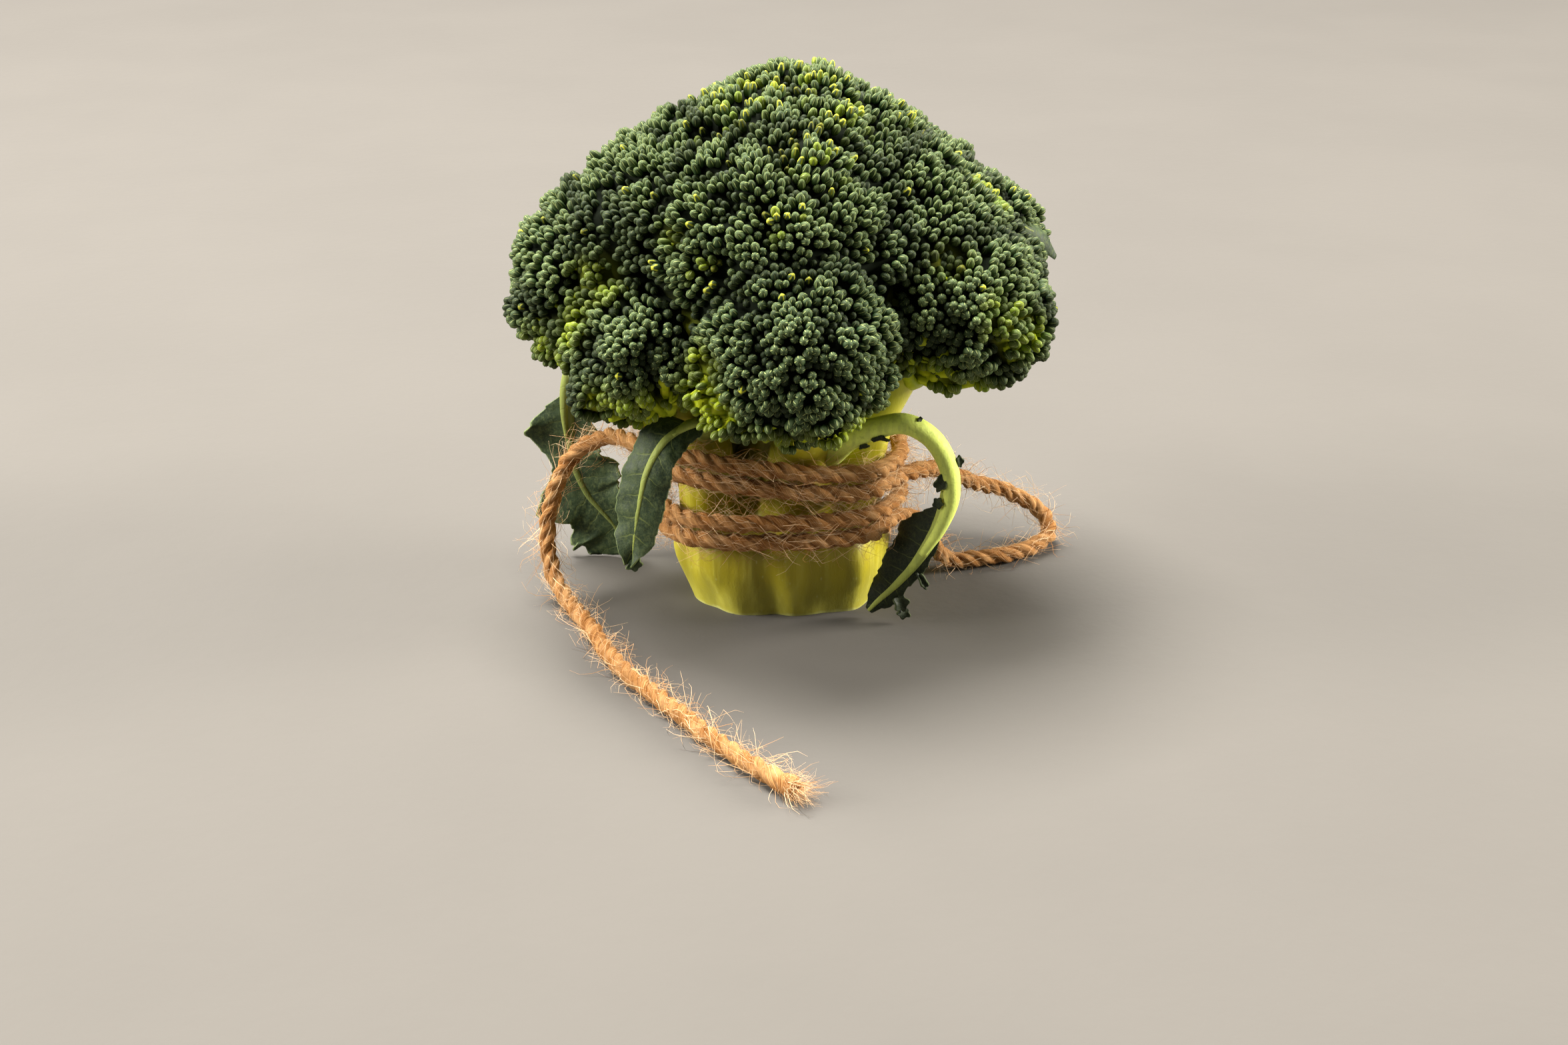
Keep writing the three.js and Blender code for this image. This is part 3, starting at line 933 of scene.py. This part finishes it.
def groupsAt(points):
    # the group and lobe at each point, and how deep the surface is sunk between them
    lobe, lobeBorder = nearestTwo(points, lobes)
    cluster, clusterBorder = nearestTwo(points, clusters)
    wobble = roughness3d(points, 0.009, 2.0)
    betweenLobes = 1 - ease(lobeBorder, 0, buds["lobeSpacing"] * 0.55)
    betweenClusters = 1 - ease(clusterBorder, 0, buds["clusterSpacing"] * 0.6)
    sink = buds["lobeDepth"] * betweenLobes * (1 + 0.8 * wobble)
    sink = sink + buds["clusterDepth"] * betweenClusters * (1 + 0.6 * wobble) - clusterLift[cluster]
    gaps = np.sort(domeGaps(points), axis=1)
    crease = 1 - ease(gaps[:, 1] - gaps[:, 0], 0.0005, 0.004)
    return lobe, cluster, sink, crease, clusterBorder


def buildFloret(name, seed):
    middle, size, axis, cover = florets[name]
    middle, size, axis = millimetres(middle), millimetres(size), unit(axis)
    chance = np.random.default_rng(seed)
    heap = Heap()

    places = budPlaces[budOwners == list(florets).index(name)]
    facing = headFacing(places)
    lobe, cluster, sink, crease, border = groupsAt(places)
    lobeWay = (places - lobes[lobe]) / (buds["lobeSpacing"] * 0.56)
    clusterWay = (places - clusters[cluster]) / (buds["clusterSpacing"] * 0.56)
    outward = unit(places - (middle - axis * size * 0.42))
    aim = outward * 0.35 + facing * 0.75 + 0.24 * lobeWay + 0.22 * clusterWay
    aim = unit(aim + chance.normal(0, buds["unevenness"], places.shape))
    loose = spotShare(places, looseSpots)
    sink = sink + loose * chance.uniform(-0.0012, 0.0030, len(sink))
    tips = places - facing * sink[:, None]
    polar = np.degrees(np.arccos(np.clip(unit((places - middle) / size) @ axis, -1, 1)))
    polar = polar - 45 * ease(facing[:, 2], -0.55, 0.0)  # creases between lobes keep their buds
    keep = polar < cover - 8 + 9 * roughness3d(places, 0.011, seed)
    inward = (np.hypot(tips[:, 0], tips[:, 1] - 0.005) < 0.026) & (tips[:, 2] < 0.078)
    keep &= ~(inward & (name != "front"))
    openings = buds["openings"] * (1 - ease(border, 0.0002, buds["clusterSpacing"] * 0.26))
    openings = openings * ease(roughness3d(places, 0.010, 6.0), -0.1, 0.35)
    openings = 0.008 + openings + 0.08 * ease(polar, 95, 120) + buds["looseOpenings"] * loose
    keep &= chance.random(len(keep)) > openings
    tips, aim, sink, polar, cluster, crease, loose = (
        x[keep] for x in (tips, aim, sink, polar, cluster, crease, loose)
    )

    fresh = spotShare(tips, freshSpots) * np.clip(0.60 + 0.8 * roughness3d(tips, 0.006, 3.0), 0, 1)
    under = ease(polar, 80, 112)
    fresh = np.maximum(fresh, under * np.clip(0.42 + 0.9 * roughness3d(tips, 0.010, 8.0), 0.1, 0.9))
    nearPetals = spotShare(tips, petalSpots)
    petals = nearPetals * (chance.random(len(tips)) < buds["petalShare"])
    petals = np.where(chance.random(len(tips)) < buds["strayPetals"], 0.8, petals) * (polar < 80)
    fresh = np.maximum(fresh, 0.6 * nearPetals * (chance.random(len(tips)) < 0.28))
    stature = ease(tips[:, 2], 0.085, 0.125)  # taller buds towards the top
    width = buds["width"] * chance.normal(1, 0.09, len(tips)).clip(0.74, 1.3) * (1.0 - 0.04 * stature)
    height = buds["height"] * chance.normal(1, 0.12, len(tips)).clip(0.7, 1.35) * (0.84 + 0.30 * stature)
    width = width * (1 - 0.12 * under) * (1 - 0.16 * loose)
    height = height * (1 - 0.10 * under)
    feet = tips - aim * height[:, None]
    spins = chance.uniform(0, 2 * math.pi, len(tips))
    turns = turnsTo(aim, spins, width, height)
    lit = 1 - np.maximum(ease(sink, 0.0010, 0.0040), 0.8 * crease) * (1 - loose)
    # painted shade: this share scales the buds' random tone, so the lower florets come out darker
    bloomAndShadeShare = buds["bloomAndShadeShares"].get(name, 1.12)
    tones = np.stack([chance.beta(2.2, 2.2, len(tips)) * bloomAndShadeShare, fresh, lit], 1)
    kind = np.where(chance.random(len(tips)) < 0.30 + 0.45 * stature, 1, 0)
    kind = np.where(petals > 0.35, 2, kind)
    for i, shape in enumerate(budShapes):
        own = kind == i
        heap.add(shape, turns[own], feet[own], np.c_[tones[own][:, :2], tones[own][:, 2] + 2 * (i == 2)])

    # stems of single buds, seen where the groups open up
    showing = (fresh > 0.3) | (under > 0.25)
    hubs = middle + (clusters[cluster] - middle) * 0.80
    run = hubs - feet
    reach = np.minimum(np.linalg.norm(run, axis=1), stems["reach"] + stems["looseReach"] * loose)
    base = feet + unit(run) * reach[:, None]
    stemTones = np.c_[tones[:, 0], np.maximum(fresh, 0.35), np.clip(0.35 + 0.65 * lit, 0, 1)]
    stemTurns = turnsTo(feet + aim * 0.0004 - base, spins, width * (0.42 + 0.10 * loose), reach)
    heap.add(pedicel, stemTurns[showing], base[showing], stemTones[showing], 1)

    # the body below the buds, drawn in underneath towards its branch
    bodyFacing = unit(core["points"] / size)
    bodyPlaces = middle + core["points"] * size
    bodyPlaces = bodyPlaces + bodyFacing * np.clip(-headGap(bodyPlaces), 0, 0.005)[:, None]
    bodyPolar = np.degrees(np.arccos(np.clip(unit(core["points"]) @ axis, -1, 1)))
    bodyLoose = spotShare(bodyPlaces, looseSpots)
    bodySink = groupsAt(bodyPlaces)[2] + stems["bodyDepth"] + stems["looseBodyDepth"] * bodyLoose
    shrink = 1 - 0.40 * ease(bodyPolar, cover - 18, 178)
    bodyPlaces = middle + (bodyPlaces - middle - bodyFacing * bodySink[:, None]) * shrink[:, None]
    bodyUnder = ease(bodyPolar, cover - 30, cover + 5)
    bodyFresh = np.maximum(spotShare(bodyPlaces, freshSpots) * 0.4, spotShare(bodyPlaces, looseSpots))
    bodyFresh = np.maximum(bodyFresh, bodyUnder)
    bodyLit = np.maximum(bodyUnder * 0.6, bodyFresh * 0.35)
    bodyTones = np.c_[np.full(len(bodyUnder), 0.5), bodyFresh, bodyLit]
    heap.add(dict(core, points=bodyPlaces), np.eye(3)[None], np.zeros((1, 3)), np.zeros((1, 3)), 1)
    heap.parts[-1]["tones"] = bodyTones

    # branchlets that fan out to the groups round the underside
    if name in stemRoots:
        root = millimetres(stemRoots[name])
        own = clusters[domeOwners[domeGaps(clusters).argmin(1)] == list(florets).index(name)]
        groupPolar = np.degrees(np.arccos(np.clip(unit((own - middle) / size) @ axis, -1, 1)))
        ends = middle + (own[(groupPolar > 72) & (groupPolar < cover + 6)] - middle) * 0.85
        starts = root + (ends - root) * 0.12 + chance.normal(0, 0.0012, ends.shape)
        run = ends - starts
        thick = chance.uniform(*stems["branchWidth"], len(ends))
        heap.add(
            branchlet, turnsTo(run, chance.uniform(0, 6, len(ends)), thick, np.linalg.norm(run, axis=1)),
            starts, np.c_[chance.random(len(ends)), np.full(len(ends), 0.55), np.full(len(ends), 0.8)], 1,
        )
    piece = heap.build("buds_" + name)
    print("floret", name, len(tips), "buds,", trianglesOf(piece), "triangles")
    return piece


def budMaterial():
    material, shader = newMaterial("budSkin")
    tone = addNode("Attribute", attribute_name="tone").outputs["Color"]
    random, fresh, mixed = addNode("SeparateColor", {"Color": tone}).outputs
    opening = calculate("GREATER_THAN", mixed, 1.5)  # opening buds carry 2 more than their light
    lit = minus(mixed, times(opening, 2.0))
    uv, place = ownMap(), objectPlace()
    up = uv["Y"]
    patches = addNoise(place, 190.0, 2.0)
    grain = addNoise(place, 2600.0, 2.0)
    body = mixColours(spread(random, 0.1, 0.9), buds["dark"], buds["middle"])
    body = mixColours(spread(patches, 0.4, 0.7, 0.0, 0.4), body, buds["bluish"])
    body = mixColours(times(fresh, 0.9), body, mixColours(random, buds["fresh"], buds["freshDark"]))
    # greyish bloom on the backs of the sepals, strongest near the tip
    across = calculate("FRACT", plus(times(uv["X"], 4.0), 0.5))
    fromSeam = calculate("ABSOLUTE", minus(across, 0.5))
    bloom = times(spread(up, 0.38, 0.80), spread(fromSeam, 0.12, 0.40, 0.45, 1.0))
    bloom = times(bloom, spread(grain, 0.25, 0.7, 0.45, 0.9))
    bloom = times(bloom, spread(fresh, 0.0, 0.9, 1.0, 0.05))
    bloom = times(bloom, spread(random, 0.0, 1.0, 0.35, 0.85))
    body = mixColours(bloom, body, buds["bloom"])
    # pale seams where the four sepals meet, beside a thin dark line
    beside = times(spread(fromSeam, 0.20, 0.11), spread(up, 0.35, 0.6, 0.0, 0.6))
    body = mixColours(beside, body, buds["besideSeam"])
    seam = times(spread(fromSeam, 0.10, 0.05), spread(up, 0.40, 0.70, 0.0, 0.70))
    body = mixColours(seam, body, buds["seam"])
    # the feet are painted dark as painted shade, and yellow-green where the buds are fresh
    foot = mixColours(fresh, buds["foot"], buds["freshFoot"])
    body = mixColours(spread(up, 0.42, 0.15, 0.0, 0.8), body, foot)
    # in opening buds yellow petals show between the sepals
    between = times(spread(fromSeam, 0.22, 0.10), spread(up, 0.52, 0.64))
    shown = calculate("MAXIMUM", between, spread(up, 0.80, 0.90))
    body = mixColours(times(opening, shown), body, buds["petal"])
    body = mixColours(spread(lit, 0.0, 1.0, 0.78, 0.0), body, buds["shade"])
    bump = plus(times(seam, -1.0), times(grain, 0.2))
    finishWith(shader, body, spread(grain, 0.2, 0.8, 0.50, 0.68), 0.16, bump, 0.00012, 0.5)
    return material


def stemMaterial():
    material, shader = newMaterial("stemSkin")
    tone = addNode("Attribute", attribute_name="tone").outputs["Color"]
    random, _, lit = addNode("SeparateColor", {"Color": tone}).outputs
    patches = addNoise(objectPlace(), 420.0, 3.0)
    colour = mixColours(spread(patches, 0.35, 0.7), stems["fresh"], stems["pale"])
    colour = mixColours(times(random, 0.35), colour, stems["dull"])
    # painted shade: stems and body that little light reaches go near black
    shown = spread(lit, 0.0, 0.6)
    colour = mixColours(shown, stems["deepShade"], colour)
    finishWith(shader, colour, spread(shown, 0.0, 1.0, 0.95, 0.45), 0.10, patches, 0.0002, 0.5)
    return material


budSkin, stemSkin = budMaterial(), stemMaterial()
for seed, name in enumerate(florets):
    floret = buildFloret(name, 40 + seed)
    wear(floret, budSkin, stemSkin)
    belong(floret, "buds", "floret_" + name)


# Leaves: blades with a thick rib, wavy edges and small scraps

leafColours = {
    "dark": (0.014, 0.033, 0.012),
    "middle": (0.036, 0.066, 0.025),
    "bloom": (0.085, 0.12, 0.045),
    "rib": (0.38, 0.45, 0.10),
    "edge": (0.22, 0.28, 0.10),
    "petiole": (0.47, 0.55, 0.11),
    "ribMottle": (0.17, 0.29, 0.05),
}
leafThickness = 0.0005
leafVeins = 9  # side veins on each half of a blade
leafShapes = {
    "leaf_front_left": {
        "facing": (-0.35, -0.85, 0.4),
        "line": [(-21.5, -24, 56), (-24.5, -31, 58.5), (-30, -35.5, 56), (-34.3, -37.7, 49),
                 (-36.3, -38.2, 41), (-37.8, -38.2, 32), (-38.8, -37.2, 23.5)],
        "left": [1.6, 4.6, 6.4, 7.0, 6.8, 6.9, 6.6, 5.8, 1.0],
        "right": [1.6, 3.6, 5.0, 5.8, 6.4, 6.6, 6.2, 5.2, 1.0],
        "ribWidth": [1.5, 1.35, 1.1, 0.95, 0.8, 0.65, 0.5, 0.3],
        "curl": 0.22, "wave": 0.8, "tooth": 0.42, "teeth": 15, "tipCurl": 2.5,
        "shade": 0.70, "ribShade": 0.85,
    },
    "leaf_back_left": {
        "facing": (-0.25, -0.95, 0.15),
        "line": [(-59.3, 19.5, 49), (-59.1, 20, 38.6), (-58.8, 19.3, 29), (-55.1, 18.3, 18.8),
                 (-50.6, 17.3, 13.3), (-47, 16.6, 8.5), (-45.5, 16, 1.2)],
        "left": [0.5, 5, 10.5, 12.6, 9, 6.5, 10, 15.5, 9, 13, 14, 12, 9],
        "right": [0.5, 4, 7, 8, 9.5, 11.5, 12, 12.3, 10, 8, 6, 4, 2],
        "ribWidth": [1.6, 1.5, 1.3, 1.1, 0.9, 0.7, 0.5, 0.3],
        "curl": -0.10, "wave": 2.2, "tooth": 0.9, "teeth": 12, "tipCurl": -1.5,
        "shade": 0.8, "ribShade": 0.42,
    },
    "leaf_right": {
        "facing": (-0.35, -0.93, 0.1),
        "line": [(42.6, -26.6, 38.5), (41.5, -27, 33), (39.5, -27.2, 28), (35, -26.7, 19.5),
                 (30, -24.9, 12), (24.6, -22.6, 5.2), (22.5, -21.5, 2.2)],
        "left": [0.4, 3.0, 7.6, 9.4, 8.4, 7.6, 6.2, 4.2, 1.2],
        "right": [0.4, 1.6, 1.0, 2.4, 3.0, 2.8, 3.2, 3.4, 1.0],
        "ribWidth": [2.4, 2.2, 1.8, 1.5, 1.2, 1.0, 0.8, 0.5],
        "curl": 0.30, "wave": 1.2, "tooth": 0.5, "teeth": 12, "tipCurl": 0.0,
        "shade": 0.30, "ribShade": 1.5,
    },
    "leaf_tip": {
        "facing": (0.65, -0.55, 0.5),
        "line": [(62.5, 7, 99), (67.5, 9.5, 95.5), (71.5, 11.5, 89.5)],
        "left": [1.3, 2.5, 2.9, 2.1, 0.7],
        "right": [1.3, 2.5, 3.1, 2.4, 0.7],
        "ribWidth": [0.35, 0.25, 0.15],
        "curl": 0.35, "wave": 0.5, "tooth": 0.3, "teeth": 5, "tipCurl": 0.0,
        "shade": 0.8, "ribShade": 0.6,
    },
}
petioles = {  # line, half widths, thickness as a part of the width, and the way that its flat side faces
    "leaf_front_left": (
        [(-20, -14, 48), (-21, -19.5, 52.5), (-21.5, -24, 56), (-24.5, -31, 58.5), (-28, -34.6, 57.2)],
        [3.4, 2.5, 2.1, 1.7, 0.7], 0.8, (0, -0.3, 1),
    ),
    "leaf_back_left": (
        [(-29, 5.5, 48), (-35, 8.5, 54), (-42, 12.5, 58), (-51, 17, 60.5), (-56.5, 19.3, 58),
         (-59.5, 20, 51), (-60.5, 20, 43), (-60.2, 19.3, 35)],
        [3.0, 2.5, 2.3, 2.4, 2.5, 2.1, 1.5, 0.6], 0.85, (0, -0.5, 1),
    ),
    "leaf_right": (
        [(12, -16, 46), (17, -20, 51), (24.5, -22.3, 54.8), (31, -23.7, 56.2), (37.6, -24.7, 52.8),
         (42, -25.7, 45.5), (43, -26.7, 37), (40.3, -27.1, 28.5), (36, -26.9, 21)],
        [5.2, 3.8, 3.2, 3.1, 3.1, 2.9, 2.6, 2.0, 1.4], 0.85, (0, -0.3, 1),
    ),
}
# small bits of blade left on the stalks of the leaves: middle, half sizes, facing and twist
scraps = {
    "leaf_right": [
        ((24.6, -25.0, 52.6), (2.2, 0.9), (-0.1, -0.8, -0.5), 0.1),
        ((20.5, -23.6, 50.0), (1.3, 0.6), (0, -1, -0.3), 0.3),
        ((34.5, -25.0, 57.9), (0.8, 0.5), (0.3, -0.6, 0.8), 0.5),
        ((44.9, -25.6, 46.6), (1.0, 1.6), (0.5, -0.8, 0), 0.2),
        ((40.3, -27.6, 41.5), (1.5, 2.6), (-0.4, -0.9, 0.1), -0.5),
        ((39.6, -28.0, 36.0), (1.4, 1.4), (-0.5, -0.8, 0.2), 0.4),
        ((30.8, -25.4, 6.2), (2.0, 2.2), (0.2, -0.9, 0.3), 0.2),
        ((31.5, -25.0, 3.0), (1.8, 1.4), (0.3, -0.8, 0.4), -0.4),
        ((36.2, -27.4, 13.5), (0.9, 2.8), (0.4, -0.9, 0), 0.5),
    ],
    "leaf_back_left": [
        ((-55.6, 16.8, 56.5), (3.4, 3.0), (0.2, -0.9, 0.4), 0.3),
        ((-53.4, 16.4, 52.8), (1.6, 2.6), (0.4, -0.9, 0.1), 0.6),
    ],
    "leaf_front_left": [((-38.0, -38.6, 23.6), (2.1, 1.5), (-0.2, -0.9, 0.35), 0.5)],
}


def bladePiece(name, leaf):
    line = smoothLine(millimetres(leaf["line"]), 0.0006)
    along = framesOn(line, leaf["facing"])[0]
    across = unit(np.cross(leaf["facing"], along))
    out = np.cross(along, across)
    count = len(line) - 1
    seed = sum(map(ord, name)) % 17

    def place(u, v):
        i = np.rint(v * count).astype(int)
        share = 2 * u - 1
        widths = {
            side: np.interp(v, np.linspace(0, 1, len(leaf[side])), leaf[side]) / 1000
            for side in ("left", "right")
        }
        width = np.where(share < 0, widths["left"], widths["right"])
        edge = np.abs(share)
        phase = np.where(share < 0, 1.7, 0.0) + seed
        saw = (v * leaf["teeth"] + phase) % 1
        tooth = (saw ** 1.6 - 0.4) * leaf["tooth"] / 1000 * ease(width, 0.001, 0.003)
        ripple = 0.5 * np.sin(v * leaf["teeth"] * 2.2 + phase * 3) * leaf["tooth"] / 1000
        x = share * width + np.sign(share) * edge ** 4 * (tooth + ripple)
        wave = np.sin(v * 17 + phase) * 0.6 + np.sin(v * 31 + phase * 2.3) * 0.4
        h = -leaf["curl"] * width * edge ** 2
        h = h + leaf["wave"] / 1000 * wave * edge ** 2.5 * ease(width, 0.001, 0.005)
        h = h + leaf["tipCurl"] / 1000 * ease(v, 0.8, 1.0) * edge
        # side veins are sunk lines, and the blade puffs up between them
        veins = np.cos((v * leafVeins - 0.55 * edge + phase) * 2 * math.pi)
        h = h + 0.00012 * veins * ease(edge, 0.1, 0.5) * ease(width, 0.002, 0.005)
        points = line[i] + across[i] * x[:, None] + out[i] * h[:, None]
        points[:, 2] = np.maximum(points[:, 2], 0.0006)
        return points

    piece = gridPiece(name + "_blade", 36, count, place)
    points = pointsOf(piece)
    blisters = roughness3d(points, 0.0016, seed) * 0.00009 + roughness3d(points, 0.004, 5) * 0.00012
    movePoints(piece, points + normalsOf(piece) * blisters[:, None])
    shapeWith(piece, "SOLIDIFY", thickness=leafThickness, offset=0)
    rib = gridPiece(
        name + "_rib", 10, count,
        tubePlace(line + out * 0.0001, millimetres(leaf["ribWidth"]), leaf["facing"], 0.5), rolled=True,
    )
    return piece, rib


def scrapPiece(middle, sizes, facing, twist):
    facing = unit(facing)
    side = unit(np.cross((0, 0, 1), facing))
    up = np.cross(facing, side)
    side, up = side * math.cos(twist) + up * math.sin(twist), up * math.cos(twist) - side * math.sin(twist)

    def place(u, v):
        x, y = 2 * u - 1, 2 * v - 1
        x, y = x * np.sqrt(1 - y * y / 2), y * np.sqrt(1 - x * x / 2)
        lobes = 1 + 0.16 * np.sin(5 * np.arctan2(y, x) + 9 * twist)
        h = 0.35 * (x * x - 0.5 * y * y) * max(sizes)
        flat = side * (x * lobes * sizes[0])[:, None] + up * (y * lobes * sizes[1])[:, None]
        return (np.array(middle) + flat + facing * h[:, None]) / 1000

    piece = gridPiece("scrap", 12, 12, place)
    shapeWith(piece, "SOLIDIFY", thickness=leafThickness, offset=0)
    return piece


def markPart(pieces, value):
    # tells the material which points are blade, 0, and which are rib or leaf stalk, 1
    for piece in pieces:
        made = piece.data.attributes.new("ribShare", "FLOAT", "POINT")
        made.data.foreach_set("value", np.full(len(piece.data.vertices), value, np.float32))


def leafMaterial(shade, ribShade):
    material, shader = newMaterial("leafSkin")
    uv, place = ownMap(), objectPlace()
    edge = calculate("ABSOLUTE", minus(times(uv["X"], 2.0), 1.0))
    isRib = addNode("Attribute", attribute_name="ribShare").outputs["Fac"]
    # painted shade and painted light: each leaf's colours are darkened below 1 and lightened above 1 by its
    # shade and ribShade
    dark, middle, bloom = ([c * shade for c in leafColours[x]] for x in ("dark", "middle", "bloom"))
    rib, petiole = ([c * ribShade for c in leafColours[x]] for x in ("rib", "petiole"))
    mottle = addNoise(place, 900.0, 4.0, 0.65)
    colour = mixColours(spread(addNoise(place, 150.0, 3.0), 0.35, 0.65), dark, middle)
    colour = mixColours(spread(mottle, 0.42, 0.70, 0.0, 0.9), colour, bloom)
    # side veins leave the rib at a slant, wandering a little, with a fine net between them
    wander = times(minus(addNoise(place, 220.0, 2.0), 0.5), 0.5)
    slant = minus(times(uv["Y"], leafVeins), times(edge, 0.55))
    fromVein = calculate("ABSOLUTE", minus(calculate("FRACT", plus(slant, wander)), 0.5))
    vein = times(spread(fromVein, 0.055, 0.01), spread(edge, 0.95, 0.15, 0.0, 0.35 * shade))
    net = addNode("TexVoronoi", {"Vector": place, "Scale": 1100.0}, feature="DISTANCE_TO_EDGE")
    net = spread(net.outputs["Distance"], 0.08, 0.0, 0.0, 0.10 * shade)
    colour = mixColours(calculate("MAXIMUM", vein, net), colour, rib)
    colour = mixColours(spread(edge, 0.955, 0.985, 0.0, 0.6 * shade), colour, leafColours["edge"])
    streaks = addNoise(stretched(place, (700, 700, 120)), 1.0, 3.0)
    ribColour = mixColours(spread(streaks, 0.35, 0.7), petiole, rib)
    ribColour = mixColours(spread(mottle, 0.5, 0.8, 0.0, 0.4), ribColour, leafColours["ribMottle"])
    colour = mixColours(isRib, colour, ribColour)
    bump = plus(mottle, times(vein, -0.8))
    finishWith(shader, colour, spread(mottle, 0.3, 0.7, 0.56, 0.70), 0.3, bump, 0.0003, 0.6)
    return material


for name, leaf in leafShapes.items():
    blade, rib = bladePiece(name, leaf)
    leafStalks = []
    if name in petioles:
        line, widths, flat, out = petioles[name]
        line = smoothLine(millimetres(line), 0.0010)
        leafStalks.append(gridPiece(
            name + "_stalk", 20, len(line) - 1, tubePlace(line, millimetres(widths), out, flat), rolled=True
        ))
    blades = [blade] + [scrapPiece(*scrap) for scrap in scraps.get(name, [])]
    markPart(blades, 0.0)
    markPart([rib], 0.6)  # the blade's colour shows through its rib a little
    markPart(leafStalks, 1.0)
    whole = joinPieces(blades + [rib] + leafStalks, name + "_fresh")
    wear(whole, leafMaterial(leaf["shade"], leaf["ribShade"]))
    belong(whole, "leaf", name)
    print("leaf", name, len(whole.data.polygons), "faces")


# Floor and light

studio = {
    "floor": (0.086, 0.080, 0.074),
    "surround": (0.86, 0.82, 0.75),
    "surroundStrength": 0.17,
    "lights": {  # place, point looked at, size, power, colour
        "overhead": ((-0.45, 0.70, 2.25), (0, 0, 0.08), 1.4, 268.0, (1.0, 0.96, 0.88)),
        "left": ((-2.28, -0.20, 1.0), (0, 0, 0.06), 0.9, 126.0, (1.0, 0.95, 0.85)),
        "right": ((2.20, 0.15, 0.88), (0, 0, 0.05), 0.8, 128.0, (1.0, 0.94, 0.83)),
    },
}


def buildStudio():
    clearSelection()
    bpy.ops.mesh.primitive_plane_add(size=8)
    floor = bpy.context.object
    floor.name = "floor"
    material, shader = newMaterial("paleFloor")
    place = objectPlace()
    patches = spread(addNoise(place, 9.0, 5.0), 0.3, 0.7, 0.0, 0.35)
    colour = mixColours(patches, studio["floor"], [c * 0.86 for c in studio["floor"]])
    finishWith(shader, colour, 0.85, 0.5, addNoise(place, 160.0, 5.0), 0.0006, 0.25)
    wear(floor, material)
    for name, (location, target, size, power, tint) in studio["lights"].items():
        turned = (Vector(target) - Vector(location)).to_track_quat("-Z", "Y").to_euler()
        bpy.ops.object.light_add(type="AREA", location=location, rotation=turned)
        light = bpy.context.object
        light.name = name + "Light"
        light.data.size, light.data.energy, light.data.color = size, power, tint
    world = bpy.data.worlds.new("softSurround")
    world.use_nodes = True
    backdrop = world.node_tree.nodes["Background"]
    backdrop.inputs["Color"].default_value = (*studio["surround"], 1)
    backdrop.inputs["Strength"].default_value = studio["surroundStrength"]
    bpy.context.scene.world = world
    bpy.context.scene.view_settings.view_transform = "Standard"


buildStudio()
